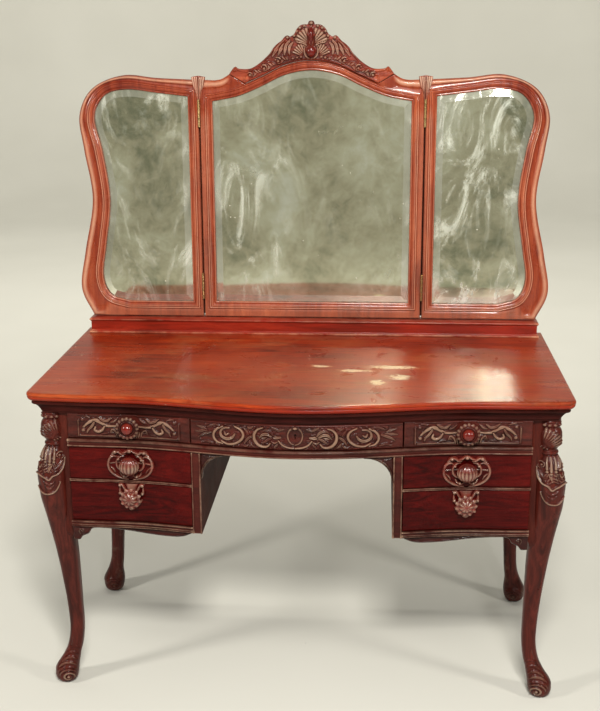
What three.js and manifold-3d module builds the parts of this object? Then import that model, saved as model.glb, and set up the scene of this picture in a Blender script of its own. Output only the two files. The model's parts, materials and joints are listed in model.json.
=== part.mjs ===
// Vanity table with a triple mirror: a bow-fronted kneehole dressing table on cabriole legs,
// seven drawers, and a fixed centre mirror with two hinged wings standing on the back of the top.
// Millimetres, +X to the right, +Y to the back, +Z up. The origin is on the floor, under the
// middle of the table's overall box.
import * as THREE from 'three';
import { mergeVertices } from 'three/addons/utils/BufferGeometryUtils.js';
import Module from 'manifold-3d';

// ---- Driving dimensions ----
const GAP = 0.3; // left between pieces that touch
const TOP_WIDTH = 1236;
const TOP_DEPTH = 690; // at the middle of the bow
const TOP_HEIGHT = 762;
const TOP_THICKNESS = 20;
const TOP_CORNER_RADIUS = 22;
const SMALLEST_CORNER_RADIUS = 5;
const BOW_DEPTH = 55; // how far the middle of the front stands ahead of its ends
const BOW_HALF_SPAN = 430;
const END_SWEEP = 12; // how far the front edge falls back from the bow's end to the corner
const SUBTOP_HEIGHT = 27; // the frame with the cove moulding, under the top board
const FACE_SETBACK = 18; // drawer faces behind the top's front edge
const CARCASS_TOP = TOP_HEIGHT - TOP_THICKNESS - SUBTOP_HEIGHT;
const CARCASS_BOTTOM = 438;
const CARCASS_BACK = 326;
const BACK_PANEL_THICKNESS = 12;
const PANEL_HALF_X = 570; // middle of a side panel's thickness
const SIDE_PANEL_THICKNESS = 16;
const POST_INNER_X = 527; // inner face of a front leg's square post
const POST_BACK_Y = -202;
const REAR_POST_INNER_X = 524;
const REAR_POST_FRONT_Y = 268;
const INNER_PANEL_X = [217, 238]; // the two faces of a pedestal's inner panel
const RAIL_Z = [636, 654]; // frieze rail, under the frieze drawers
const MIDDLE_BOARD_Z = [550, 556];
const BOTTOM_BOARD_Z = [CARCASS_BOTTOM, 453];
const RAIL_PROUD = 4; // moulded rails stand ahead of the drawer faces
const BEAD_PROUD = 1.5;
const DRAWER_GAP = 1;
const SIDE_FRONT_BACK_Y = -252; // flat back of a side drawer's front
const CENTER_FRONT_BACK_Y = -280;
const DRAWER_BOX_BACK_Y = 290;
const DRAWER_WALL = 10;
const DRAWER_FLOOR = 6;
const SIDE_DRAWER_X = [240, 525.5];
const SIDE_BOX_X = [242, 521];
const CENTER_DRAWER_HALF = 237.5;
const CENTER_BOX_HALF = 213;
const PULL_X = 382;
const PLINTH_WIDTH = 1207;
const PLINTH_Y = [280, 342];
const PLINTH_TOP = 803;
const MIRROR_FRONT_Y = 303;
const MIRROR_THICKNESS = 26;
const MIRROR_BOTTOM = 805;
const GLASS_SETBACK = 9; // front of the glass behind the front of its frame
const GLASS_THICKNESS = 5;
const BACKBOARD_THICKNESS = 7;
const REBATE = 7; // how far the rebate reaches outside the sight edge
const HINGE_X = 291.5;
const HINGE_PROUD = 2.6; // hinge axis ahead of the frames' front faces
const HINGE_HEIGHT = 70;
const HINGE_Z = [890, 1345];
const STILE_EDGE_GAP = 2; // from the hinge axis to the edge of each stile
const FRONT_SEGMENTS = 12; // steps along a side drawer's curved front

const wasm = await Module();
wasm.setup();

// ---- Solids ----
function toManifold(geometry) {
  const bare = geometry.clone();
  bare.deleteAttribute('normal');
  bare.deleteAttribute('uv');
  const merged = mergeVertices(bare, 1e-4);
  const vertProperties = new Float32Array(merged.attributes.position.array);
  const triVerts = new Uint32Array(merged.index.array);
  return new wasm.Manifold(new wasm.Mesh({ numProp: 3, vertProperties, triVerts }));
}

function fromManifold(solid) {
  const mesh = solid.getMesh();
  const geometry = new THREE.BufferGeometry();
  geometry.setAttribute('position', new THREE.BufferAttribute(mesh.vertProperties, 3));
  geometry.setIndex(new THREE.BufferAttribute(mesh.triVerts, 1));
  geometry.computeVertexNormals();
  return geometry;
}

function join(geometries) {
  const solids = geometries.map(toManifold);
  return fromManifold(solids.reduce((sum, next) => sum.add(next)));
}

function cut(geometry, tools) {
  return fromManifold(tools.reduce((rest, tool) => rest.subtract(toManifold(tool)), toManifold(geometry)));
}

function boxBetween([x0, y0, z0], [x1, y1, z1]) {
  const box = new THREE.BoxGeometry(x1 - x0, y1 - y0, z1 - z0);
  return box.translate((x0 + x1) / 2, (y0 + y1) / 2, (z0 + z1) / 2);
}

// A closed skin over rings of equal length, bottom ring first, each anticlockwise from above.
function skin(rings) {
  const count = rings[0].length;
  const positions = rings.flat().flatMap((point) => [point.x, point.y, point.z]);
  const index = [];
  for (let level = 0; level + 1 < rings.length; level += 1) {
    for (let i = 0; i < count; i += 1) {
      const a = level * count + i;
      const b = level * count + ((i + 1) % count);
      index.push(a, b, b + count, a, b + count, a + count);
    }
  }
  const last = (rings.length - 1) * count;
  for (const [a, b, c] of THREE.ShapeUtils.triangulateShape(rings[0], [])) {
    index.push(c, b, a);
  }
  for (const [a, b, c] of THREE.ShapeUtils.triangulateShape(rings[rings.length - 1], [])) {
    index.push(last + a, last + b, last + c);
  }
  const geometry = new THREE.BufferGeometry();
  geometry.setAttribute('position', new THREE.Float32BufferAttribute(positions, 3));
  geometry.setIndex(index);
  geometry.computeVertexNormals();
  return geometry;
}

// A moulded board: the plan outline outline(inset) at each [height, inset] of the profile.
function moulded(outline, profile) {
  return skin(profile.map(([z, inset]) => outline(inset).map((p) => new THREE.Vector3(p.x, p.y, z))));
}

const points = (pairs) => pairs.map(([a, b]) => new THREE.Vector2(a, b));

const extrude = (shape, depth) => new THREE.ExtrudeGeometry(shape, { depth, bevelEnabled: false });

// A plan outline (x, y) raised from z0 to z1.
function raise(outline, [z0, z1]) {
  return extrude(new THREE.Shape(outline), z1 - z0).translate(0, 0, z0);
}

// An elevation outline (x, z) carried from y0 back to y1.
function carryBack(outline, [y0, y1]) {
  return extrude(new THREE.Shape(outline), y1 - y0).rotateX(Math.PI / 2).translate(0, y1, 0);
}

// A side-view outline (y, z) carried from x0 to x1.
function carryAcross(outline, [x0, x1]) {
  const turn = new THREE.Matrix4().makeBasis(
    new THREE.Vector3(0, 1, 0),
    new THREE.Vector3(0, 0, 1),
    new THREE.Vector3(1, 0, 0),
  );
  return extrude(new THREE.Shape(outline), x1 - x0).applyMatrix4(turn).translate(x0, 0, 0);
}

// The mirror image across the table's middle plane.
function mirrored(geometry) {
  const image = geometry.index ? geometry.clone() : mergeVertices(geometry);
  image.scale(-1, 1, 1);
  const order = image.index.array;
  for (let i = 0; i < order.length; i += 3) {
    [order[i], order[i + 1]] = [order[i + 1], order[i]];
  }
  image.computeVertexNormals();
  return image;
}

// A closed outline moved outwards by distance, mitred at its corners.
function offset(outline, distance) {
  const sign = THREE.ShapeUtils.isClockWise(outline) ? -1 : 1;
  return outline.map((point, i) => {
    const before = outline[(i + outline.length - 1) % outline.length];
    const after = outline[(i + 1) % outline.length];
    const first = point.clone().sub(before).normalize();
    const second = after.clone().sub(point).normalize();
    const normal = new THREE.Vector2(first.y + second.y, -first.x - second.x).multiplyScalar(sign);
    const cosHalf = normal.length() / 2;
    return point.clone().addScaledVector(normal.normalize(), distance / cosHalf);
  });
}

// ---- The bow front ----
function frontEdge(x) {
  const along = Math.abs(x);
  const bow = along < BOW_HALF_SPAN ? BOW_DEPTH * Math.cos((Math.PI * along) / (2 * BOW_HALF_SPAN)) ** 2 : 0;
  const sweep = Math.max(0, along - BOW_HALF_SPAN) / (TOP_WIDTH / 2 - BOW_HALF_SPAN);
  return -TOP_DEPTH / 2 + BOW_DEPTH - bow + END_SWEEP * sweep ** 2;
}

const faceCurve = (x) => frontEdge(x) + FACE_SETBACK;

function frontLine(x0, x1, segments, proud = 0) {
  const line = [];
  for (let i = 0; i <= segments; i += 1) {
    const x = x0 + ((x1 - x0) * i) / segments;
    line.push(new THREE.Vector2(x, faceCurve(x) - proud));
  }
  return line;
}

// Lays a piece made against the plane y = 0 onto the curved drawer faces.
function layOnFront(geometry, xShift = 0) {
  const place = geometry.attributes.position;
  for (let i = 0; i < place.count; i += 1) {
    place.setY(i, place.getY(i) + faceCurve(place.getX(i) + xShift));
  }
  geometry.computeVertexNormals();
  return geometry;
}

// The top's plan outline, drawn in by inset at the front and sideInset at the ends, with its
// two front corners rounded.
function topOutline(inset, back = TOP_DEPTH / 2, sideInset = inset) {
  const half = TOP_WIDTH / 2 - sideInset;
  const radius = Math.max(TOP_CORNER_RADIUS - inset, SMALLEST_CORNER_RADIUS);
  const straight = half - radius;
  const front = frontLine(-straight, straight, 40, FACE_SETBACK - inset);
  const cornerY = front[0].y + radius;
  const corner = (side) => [1, 2, 3, 4].map((step) => {
    const turn = (Math.PI / 2) * (step / 4);
    return new THREE.Vector2(side * (straight + radius * Math.sin(turn)), cornerY - radius * Math.cos(turn));
  });
  const backCorners = points([[half, back], [-half, back]]);
  return [...front, ...corner(1), ...backCorners, ...corner(-1).reverse()];
}

// ---- Nodes ----
const vanity = new THREE.Group();
const MAHOGANY = { color: 0x5a1712, roughness: 0.35, metalness: 0 };
const TOP_MAHOGANY = { color: 0x8a2a18, roughness: 0.28, metalness: 0 };
const DRAWER_LINING = { color: 0x8c6a45, roughness: 0.7, metalness: 0 };
const GLASS = { color: 0x8f9a86, roughness: 0.08, metalness: 0.9 };
const BRASS = { color: 0xb08a4a, roughness: 0.35, metalness: 0.9 };
const STEEL = { color: 0x6f6a62, roughness: 0.5, metalness: 0.9 };

function add(name, geometry, finish, parent = vanity) {
  const mesh = new THREE.Mesh(geometry, new THREE.MeshStandardMaterial(finish));
  mesh.name = name;
  parent.add(mesh);
  return mesh;
}

function addPair(name, geometry, finish) {
  add(`${name}_left`, mirrored(geometry), finish);
  add(`${name}_right`, geometry, finish);
}

// ---- Top ----
function tableTop() {
  const under = TOP_HEIGHT - TOP_THICKNESS;
  return moulded((inset) => topOutline(inset, TOP_DEPTH / 2 - inset), [
    [under, 5],
    [under + 3, 1],
    [under + 8, 0],
    [under + 14, 0.5],
    [under + 18, 3],
    [TOP_HEIGHT, 7],
  ]);
}

// The frame that carries the top, with a cove worked along its front and sides. Its profile is
// [height above the carcass, inset at the front, inset at the ends].
const COVE_PROFILE = [
  [0, 17, 35],
  [3, 16, 33],
  [8, 15, 28],
  [16, 11, 18],
  [22, 7, 8],
  [SUBTOP_HEIGHT - GAP, 6, 6],
];

function topMoulding() {
  const body = skin(COVE_PROFILE.map(([height, inset, sideInset]) => {
    const outline = topOutline(inset, CARCASS_BACK, sideInset);
    return outline.map((p) => new THREE.Vector3(p.x, p.y, CARCASS_TOP + height));
  }));
  const railWidth = 60;
  const innerX = POST_INNER_X - railWidth / 2;
  const low = [-innerX, -245, CARCASS_TOP - 1];
  return cut(body, [boxBetween(low, [innerX, CARCASS_BACK - railWidth, TOP_HEIGHT])]);
}

// ---- Legs ----
// Each station is [z, x, y, radius] of the leg's middle line, for the leg on the right.
const FRONT_LEG_STATIONS = [
  [0, 579, -210, 17],
  [14, 579, -210, 27],
  [40, 576, -209, 28],
  [70, 564, -206, 21],
  [100, 554, -203, 18],
  [145, 548, -203, 17],
  [210, 549, -206, 18],
  [280, 552, -211, 21],
  [348, 556, -217, 24.5],
  [400, 560, -225, 27],
  [440, 564, -231, 29],
  [470, 567, -236, 31],
  [505, 571, -243, 33],
  [561, 573, -248, 34],
  [600, 568, -244, 29],
  [621, 566, -240, 24],
  [630, 565, -239, 20],
  [636, 565, -239, 22],
  [645, 565, -239, 20],
  [660, 566, -240, 25],
  [678, 567, -240, 27],
  [692, 567, -240, 25],
  [700, 566, -240, 22],
  [707, 566, -240, 24],
  [CARCASS_TOP - GAP, 566, -240, 24],
];
const REAR_LEG_STATIONS = [
  [0, 570, 283, 17],
  [14, 570, 283, 27],
  [40, 569, 283, 29],
  [70, 563, 283, 21],
  [100, 557, 282, 18],
  [145, 554, 282, 17.5],
  [210, 552, 285, 19],
  [280, 551, 289, 21],
  [348, 551, 293, 24],
  [420, 551, 297, 26],
  [470, 552, 297, 27],
];
const LEG_SIDES = 12;

function legShaft(stations) {
  return skin(stations.map(([z, x, y, radius]) => {
    const ring = [];
    for (let i = 0; i < LEG_SIDES; i += 1) {
      const turn = (2 * Math.PI * (i + 0.5)) / LEG_SIDES;
      ring.push(new THREE.Vector3(x + radius * Math.cos(turn), y + radius * Math.sin(turn), z));
    }
    return ring;
  }));
}

function frontLeg() {
  const post = points([
    [POST_INNER_X, -258],
    [552, -258],
    [582, -228],
    [582, POST_BACK_Y],
    [POST_INNER_X, POST_BACK_Y],
  ]);
  return join([raise(post, [405, CARCASS_TOP - GAP]), legShaft(FRONT_LEG_STATIONS)]);
}

function rearLeg() {
  const low = [REAR_POST_INNER_X, REAR_POST_FRONT_Y, 430];
  const high = [580, CARCASS_BACK, CARCASS_TOP - GAP];
  return join([boxBetween(low, high), legShaft(REAR_LEG_STATIONS)]);
}

// ---- Carcass ----
const PANEL_BACK_Y = CARCASS_BACK - BACK_PANEL_THICKNESS;
const PANEL_TOP = CARCASS_TOP - GAP;

function sidePanel() {
  const inner = PANEL_HALF_X - SIDE_PANEL_THICKNESS / 2;
  const low = [inner, POST_BACK_Y + GAP, CARCASS_BOTTOM];
  return boxBetween(low, [inner + SIDE_PANEL_THICKNESS, REAR_POST_FRONT_Y - GAP, PANEL_TOP]);
}

// A pedestal's inner panel: its front edge is the stile, notched above for the frieze rail.
function innerPanel() {
  const stileY = faceCurve(INNER_PANEL_X[0]) + 1;
  const recessY = SIDE_FRONT_BACK_Y + GAP;
  const outline = points([
    [stileY, CARCASS_BOTTOM],
    [PANEL_BACK_Y - GAP, CARCASS_BOTTOM],
    [PANEL_BACK_Y - GAP, PANEL_TOP],
    [recessY, PANEL_TOP],
    [recessY, RAIL_Z[0] - GAP],
    [stileY, RAIL_Z[0] - GAP],
  ]);
  return carryAcross(outline, INNER_PANEL_X);
}

// One board across the back, cut away over the kneehole.
function backPanel() {
  const outer = REAR_POST_INNER_X - GAP;
  const opening = INNER_PANEL_X[0];
  const outline = points([
    [-outer, CARCASS_BOTTOM],
    [-opening, CARCASS_BOTTOM],
    [-opening, RAIL_Z[0]],
    [opening, RAIL_Z[0]],
    [opening, CARCASS_BOTTOM],
    [outer, CARCASS_BOTTOM],
    [outer, PANEL_TOP],
    [-outer, PANEL_TOP],
  ]);
  return carryBack(outline, [PANEL_BACK_Y, CARCASS_BACK]);
}

// From a front post round to the back, clear of the posts and the side panel.
function boardEnd() {
  const wide = PANEL_HALF_X - SIDE_PANEL_THICKNESS / 2 - GAP;
  return points([
    [POST_INNER_X - GAP, POST_BACK_Y + GAP],
    [wide, POST_BACK_Y + GAP],
    [wide, REAR_POST_FRONT_Y - GAP],
    [REAR_POST_INNER_X - GAP, REAR_POST_FRONT_Y - GAP],
    [REAR_POST_INNER_X - GAP, PANEL_BACK_Y - GAP],
  ]);
}

const flipX = (outline) => outline.map((p) => new THREE.Vector2(-p.x, p.y)).reverse();

// The frieze rail and the dust boards behind it, slotted for the two inner panels.
function friezeRail() {
  const [slotInner, slotOuter] = [INNER_PANEL_X[0] - GAP, INNER_PANEL_X[1] + GAP];
  const back = PANEL_BACK_Y - GAP;
  const slot = points([
    [slotOuter, back],
    [slotOuter, SIDE_FRONT_BACK_Y],
    [slotInner, SIDE_FRONT_BACK_Y],
    [slotInner, back],
  ]);
  const rightHalf = [...boardEnd(), ...slot];
  const end = POST_INNER_X - GAP;
  return raise([...frontLine(-end, end, 36, RAIL_PROUD), ...rightHalf, ...flipX(rightHalf)], RAIL_Z);
}

function pedestalBoard(heights, proud) {
  const inner = INNER_PANEL_X[1] + GAP;
  const front = frontLine(inner, POST_INNER_X - GAP, FRONT_SEGMENTS, proud);
  return raise([...front, ...boardEnd(), new THREE.Vector2(inner, PANEL_BACK_Y - GAP)], heights);
}

function apron() {
  const top = CARCASS_BOTTOM - GAP;
  const curve = new THREE.SplineCurve(points([
    [POST_INNER_X - GAP, 402],
    [512, 402],
    [504, 411],
    [490, 418],
    [480, 431],
    [455, 433],
    [400, 429],
    [345, 423],
    [300, 421],
    [266, 424],
    [239, 436],
  ]));
  const lower = curve.getPoints(30);
  const upper = [1, 2, 3, 4, 5, 6, 7].map((i) => new THREE.Vector2(239 + (287.7 * i) / 7, top));
  return layOnFront(carryBack([...lower, ...upper].reverse(), [2, 18]));
}

// A concave bracket between the inner panel and the frieze rail.
function kneeholeBracket() {
  const outer = INNER_PANEL_X[0] - GAP;
  const top = RAIL_Z[0] - GAP;
  const reach = 62;
  const drop = 58;
  const hollow = [];
  for (let i = 0; i <= 8; i += 1) {
    const turn = (Math.PI / 2) * (i / 8);
    const x = outer - reach * (1 - Math.sin(turn)) - 3;
    const z = top - 4 - drop * (1 - Math.cos(turn));
    hollow.push([x, z]);
  }
  const outline = points([[outer - reach - 3, top], ...hollow, [outer, top - drop - 8], [outer, top]]);
  return layOnFront(carryBack(outline, [2, 18]));
}

// ---- Drawers ----
function drawerFront([x0, x1], backY, heights) {
  const outline = [...frontLine(x0, x1, FRONT_SEGMENTS), ...points([[x1, backY], [x0, backY]])];
  return raise(outline, heights);
}

// An open-topped box whose front is closed by the drawer front.
function drawerBox([x0, x1], frontY, [z0, z1]) {
  const outer = boxBetween([x0, frontY + GAP, z0], [x1, DRAWER_BOX_BACK_Y, z1]);
  const low = [x0 + DRAWER_WALL, frontY - 1, z0 + DRAWER_FLOOR];
  const high = [x1 - DRAWER_WALL, DRAWER_BOX_BACK_Y - DRAWER_WALL, z1 + 1];
  return cut(outer, [boxBetween(low, high)]);
}

const FRIEZE_FRONT_Z = [RAIL_Z[1] + DRAWER_GAP, CARCASS_TOP - DRAWER_GAP];
const UPPER_FRONT_Z = [MIDDLE_BOARD_Z[1] + DRAWER_GAP, RAIL_Z[0] - DRAWER_GAP];
const LOWER_FRONT_Z = [BOTTOM_BOARD_Z[1] + DRAWER_GAP, MIDDLE_BOARD_Z[0] - DRAWER_GAP];
const KEYHOLE_Z = 690;

// The keyhole is a round hole over a narrow slot, blind at the lock.
function centerFront() {
  const front = drawerFront([-CENTER_DRAWER_HALF, CENTER_DRAWER_HALF], CENTER_FRONT_BACK_Y, FRIEZE_FRONT_Z);
  const depth = 24;
  const frontY = faceCurve(0);
  const eye = new THREE.CylinderGeometry(2.6, 2.6, depth, 12).translate(0, frontY - 2 + depth / 2, KEYHOLE_Z);
  const slot = boxBetween([-1.3, frontY - 2, KEYHOLE_Z - 10], [1.3, frontY - 2 + depth, KEYHOLE_Z]);
  return cut(front, [eye, slot]);
}

// ---- Pulls ----
// Each is made around x = 0 with its back on the plane y = 0, then laid on the drawer face.
function ball(rx, ry, rz, y, z) {
  return new THREE.SphereGeometry(1, 16, 10).scale(rx, ry, rz).translate(0, y, z);
}

function shellKnob() {
  const shank = new THREE.CylinderGeometry(10, 12, 16, 12).translate(0, -8.5, 0);
  return join([shank, ball(28, 13, 25, -24, 0)]);
}

function ringPull() {
  const plate = new THREE.Shape().absellipse(0, 0, 54, 38, 0, 2 * Math.PI, false);
  plate.holes.push(new THREE.Path().absellipse(0, 0, 45, 30, 0, 2 * Math.PI, true));
  const ring = new THREE.ExtrudeGeometry(plate, { depth: 7, bevelEnabled: false, curveSegments: 14 });
  ring.rotateX(Math.PI / 2).translate(0, -0.5, 0);
  const bar = new THREE.BoxGeometry(98, 5, 10, 10, 1, 1).translate(0, -3.2, 0);
  return join([ring, bar, ball(24, 17, 22, -18, 2)]);
}

function dropPull() {
  const plate = boxBetween([-20, -6.5, 14], [20, -0.5, 31]);
  const shank = new THREE.CylinderGeometry(11, 13, 14, 12).translate(0, -7.5, 4);
  const point = new THREE.ConeGeometry(11, 24, 12).rotateX(Math.PI).translate(0, -17, -22);
  return join([plate, shank, ball(25, 15, 21, -19, 4), point]);
}

const PULLS = [
  ['frieze_knob', shellKnob, 688],
  ['upper_pull', ringPull, 595],
  ['lower_pull', dropPull, 516],
];

function addPulls() {
  for (const [name, shape, z] of PULLS) {
    for (const [word, side] of [['left', -1], ['right', 1]]) {
      const mesh = add(`${name}_${word}`, layOnFront(shape(), side * PULL_X), MAHOGANY);
      mesh.position.set(side * PULL_X, 0, z);
    }
  }
}

// ---- Mirror ----
function mirrorPlinth() {
  const half = PLINTH_WIDTH / 2;
  const outline = (inset) => points([
    [inset - half, PLINTH_Y[0] + inset],
    [half - inset, PLINTH_Y[0] + inset],
    [half - inset, PLINTH_Y[1] - inset],
    [inset - half, PLINTH_Y[1] - inset],
  ]);
  return moulded(outline, [
    [TOP_HEIGHT + GAP, 0],
    [TOP_HEIGHT + 5, 0],
    [TOP_HEIGHT + 9, 4],
    [PLINTH_TOP - 8, 4],
    [PLINTH_TOP - 5, 1],
    [PLINTH_TOP, 1],
  ]);
}

const MIRROR_BACK_Y = MIRROR_FRONT_Y + MIRROR_THICKNESS;
const STILE_EDGE = HINGE_X - STILE_EDGE_GAP;

// The arched upper edge of the centre glass, from right to left.
function archLine(raiseBy) {
  const half = points([[254, 1376], [190, 1389], [130, 1413], [67, 1442]]);
  const crown = new THREE.Vector2(0, 1453);
  const all = [...half, crown, ...flipX(half)];
  return new THREE.SplineCurve(all.map((p) => new THREE.Vector2(p.x, p.y + raiseBy))).getPoints(24);
}

const centerSight = () => [...points([[-257, 847], [257, 847], [257, 1376]]), ...archLine(0).slice(1, -1),
  ...points([[-257, 1376]])];

const CREST_END = new THREE.Vector2(211, 1444);

function centerOuter() {
  const shoulder = points([[STILE_EDGE, 1430], [250, 1428], [228, 1433], [CREST_END.x, CREST_END.y]]);
  const headRail = archLine(24).filter((p) => Math.abs(p.x) < 172);
  const base = points([[-STILE_EDGE, MIRROR_BOTTOM], [STILE_EDGE, MIRROR_BOTTOM]]);
  return [...base, ...shoulder, ...headRail, ...flipX(shoulder)];
}

// The pierced and carved crest, standing on the head rail.
function crestOuter() {
  const upper = points([
    [205, 1452],
    [196, 1462],
    [186, 1457],
    [158, 1457],
    [132, 1471],
    [107, 1494],
    [87, 1518],
    [67, 1535],
    [43, 1543],
    [28, 1563],
    [0, 1575],
  ]);
  const lower = archLine(24 + GAP * 2).filter((p) => Math.abs(p.x) < 172).reverse();
  return [...lower, new THREE.Vector2(CREST_END.x - 1, CREST_END.y + 1.2), ...upper, ...flipX(upper.slice(0, -1)),
    new THREE.Vector2(1 - CREST_END.x, CREST_END.y + 1.2)];
}

const WING_EDGE = HINGE_X + STILE_EDGE_GAP;

function wingOuter() {
  const sweep = new THREE.SplineCurve(points([
    [594, MIRROR_BOTTOM],
    [625, 880],
    [610, 980],
    [583, 1120],
    [599, 1250],
    [607, 1340],
    [570, 1408],
    [490, 1441],
    [400, 1434],
    [WING_EDGE, 1429],
  ]));
  return [new THREE.Vector2(WING_EDGE, MIRROR_BOTTOM), ...sweep.getPoints(36)];
}

function wingSight() {
  const sweep = new THREE.SplineCurve(points([
    [495, 846],
    [546, 864],
    [565, 915],
    [553, 1000],
    [537, 1120],
    [551, 1245],
    [568, 1335],
    [538, 1391],
    [480, 1406],
    [400, 1397],
    [321, 1388],
  ]));
  return [new THREE.Vector2(321, 846), ...sweep.getPoints(36)];
}

// A frame with its front lip at the sight edge and a rebate behind for the glass.
function mirrorFrame(outer, sight) {
  const body = carryBack(outer, [MIRROR_FRONT_Y, MIRROR_BACK_Y]);
  const sightCut = carryBack(sight, [MIRROR_FRONT_Y - 1, MIRROR_BACK_Y + 1]);
  const rebateCut = carryBack(offset(sight, REBATE), [MIRROR_FRONT_Y + GLASS_SETBACK - GAP, MIRROR_BACK_Y + 1]);
  return cut(body, [sightCut, rebateCut]);
}

function pane(sight) {
  const front = MIRROR_FRONT_Y + GLASS_SETBACK;
  return carryBack(offset(sight, REBATE - GAP), [front, front + GLASS_THICKNESS]);
}

function backboard(sight) {
  const front = MIRROR_FRONT_Y + GLASS_SETBACK + GLASS_THICKNESS + GAP;
  return carryBack(offset(sight, REBATE - GAP), [front, front + BACKBOARD_THICKNESS]);
}

// ---- Wing hinges ----
// The leaf is made around the hinge axis; side -1 lies on the centre stile, +1 on the wing.
const KNUCKLE_RADIUS = 3;

function knuckle(z0, z1) {
  const barrel = new THREE.CylinderGeometry(KNUCKLE_RADIUS, KNUCKLE_RADIUS, z1 - z0, 14);
  return barrel.rotateX(Math.PI / 2).translate(0, 0, (z0 + z1) / 2);
}

function hingeLeaf(side, knuckles) {
  const half = HINGE_HEIGHT / 2;
  const near = [side * (STILE_EDGE_GAP - GAP), 0, -half];
  const far = [side * 0.4, 20, half];
  const low = [Math.min(near[0], far[0]), -1.5, -half];
  const high = [Math.max(near[0], far[0]), 20, half];
  const plate = boxBetween(low, high);
  const reliefs = [[-half, -half / 3], [-half / 3, half / 3], [half / 3, half]];
  const others = reliefs.filter((span, i) => !knuckles.includes(i));
  const clearance = 0.4;
  const relief = ([z0, z1]) => {
    const radius = KNUCKLE_RADIUS + clearance;
    const hole = new THREE.CylinderGeometry(radius, radius, z1 - z0 + 2 * clearance, 14);
    return hole.rotateX(Math.PI / 2).translate(0, 0, (z0 + z1) / 2);
  };
  const barrels = knuckles.map((i) => knuckle(reliefs[i][0] + clearance, reliefs[i][1] - clearance));
  return join([cut(plate, others.map(relief)), ...barrels]);
}

function addHinges() {
  for (const [word, side] of [['left', -1], ['right', 1]]) {
    for (const [level, z] of [['lower', HINGE_Z[0]], ['upper', HINGE_Z[1]]]) {
      const place = new THREE.Group();
      place.position.set(side * HINGE_X, MIRROR_FRONT_Y - HINGE_PROUD, z);
      add(`${level}_hinge_${word}_fixed_leaf`, hingeLeaf(-side, [1]), BRASS, place);
      add(`${level}_hinge_${word}_wing_leaf`, hingeLeaf(side, [0, 2]), BRASS, place);
      vanity.add(place);
    }
  }
}

// ---- Assembly ----
add('table_top', tableTop(), TOP_MAHOGANY);
add('top_moulding', topMoulding(), MAHOGANY);
addPair('front_leg', frontLeg(), MAHOGANY);
addPair('rear_leg', rearLeg(), MAHOGANY);
add('back_panel', backPanel(), MAHOGANY);
addPair('side_panel', sidePanel(), MAHOGANY);
addPair('inner_panel', innerPanel(), MAHOGANY);
add('frieze_rail', friezeRail(), MAHOGANY);
addPair('middle_dust_board', pedestalBoard(MIDDLE_BOARD_Z, BEAD_PROUD), MAHOGANY);
addPair('pedestal_bottom', pedestalBoard(BOTTOM_BOARD_Z, RAIL_PROUD), MAHOGANY);
addPair('apron', apron(), MAHOGANY);
addPair('kneehole_bracket', kneeholeBracket(), MAHOGANY);

add('center_frieze_drawer_front', centerFront(), MAHOGANY);
add(
  'center_frieze_drawer_box',
  drawerBox([-CENTER_BOX_HALF, CENTER_BOX_HALF], CENTER_FRONT_BACK_Y, [FRIEZE_FRONT_Z[0] + 1, FRIEZE_FRONT_Z[1] - 4]),
  DRAWER_LINING,
);
const SIDE_DRAWERS = [['side_frieze', FRIEZE_FRONT_Z, 4], ['upper', UPPER_FRONT_Z, 8], ['lower', LOWER_FRONT_Z, 8]];
for (const [row, heights, boxDrop] of SIDE_DRAWERS) {
  const boxHeights = [heights[0] + DRAWER_GAP, heights[1] - boxDrop];
  addPair(`${row}_drawer_front`, drawerFront(SIDE_DRAWER_X, SIDE_FRONT_BACK_Y, heights), MAHOGANY);
  addPair(`${row}_drawer_box`, drawerBox(SIDE_BOX_X, SIDE_FRONT_BACK_Y, boxHeights), DRAWER_LINING);
}
addPulls();
add('drawer_lock', boxBetween([-26, CENTER_FRONT_BACK_Y + GAP, 670], [26, CENTER_FRONT_BACK_Y + 9, 702]), STEEL);

add('mirror_plinth', mirrorPlinth(), TOP_MAHOGANY);
add('center_mirror_frame', mirrorFrame(centerOuter(), centerSight()), TOP_MAHOGANY);
add('center_mirror_glass', pane(centerSight()), GLASS);
add('center_mirror_backboard', backboard(centerSight()), DRAWER_LINING);
add('crest', carryBack(crestOuter(), [MIRROR_FRONT_Y - 6, MIRROR_FRONT_Y + 16]), MAHOGANY);
addPair('wing_mirror_frame', mirrorFrame(wingOuter(), wingSight()), TOP_MAHOGANY);
addPair('wing_mirror_glass', pane(wingSight()), GLASS);
addPair('wing_mirror_backboard', backboard(wingSight()), DRAWER_LINING);
addHinges();

export default vanity;
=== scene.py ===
import json
import math

import bmesh
import bpy
import numpy as np
from mathutils import Matrix, Vector
from mathutils.geometry import delaunay_2d_cdt


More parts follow.
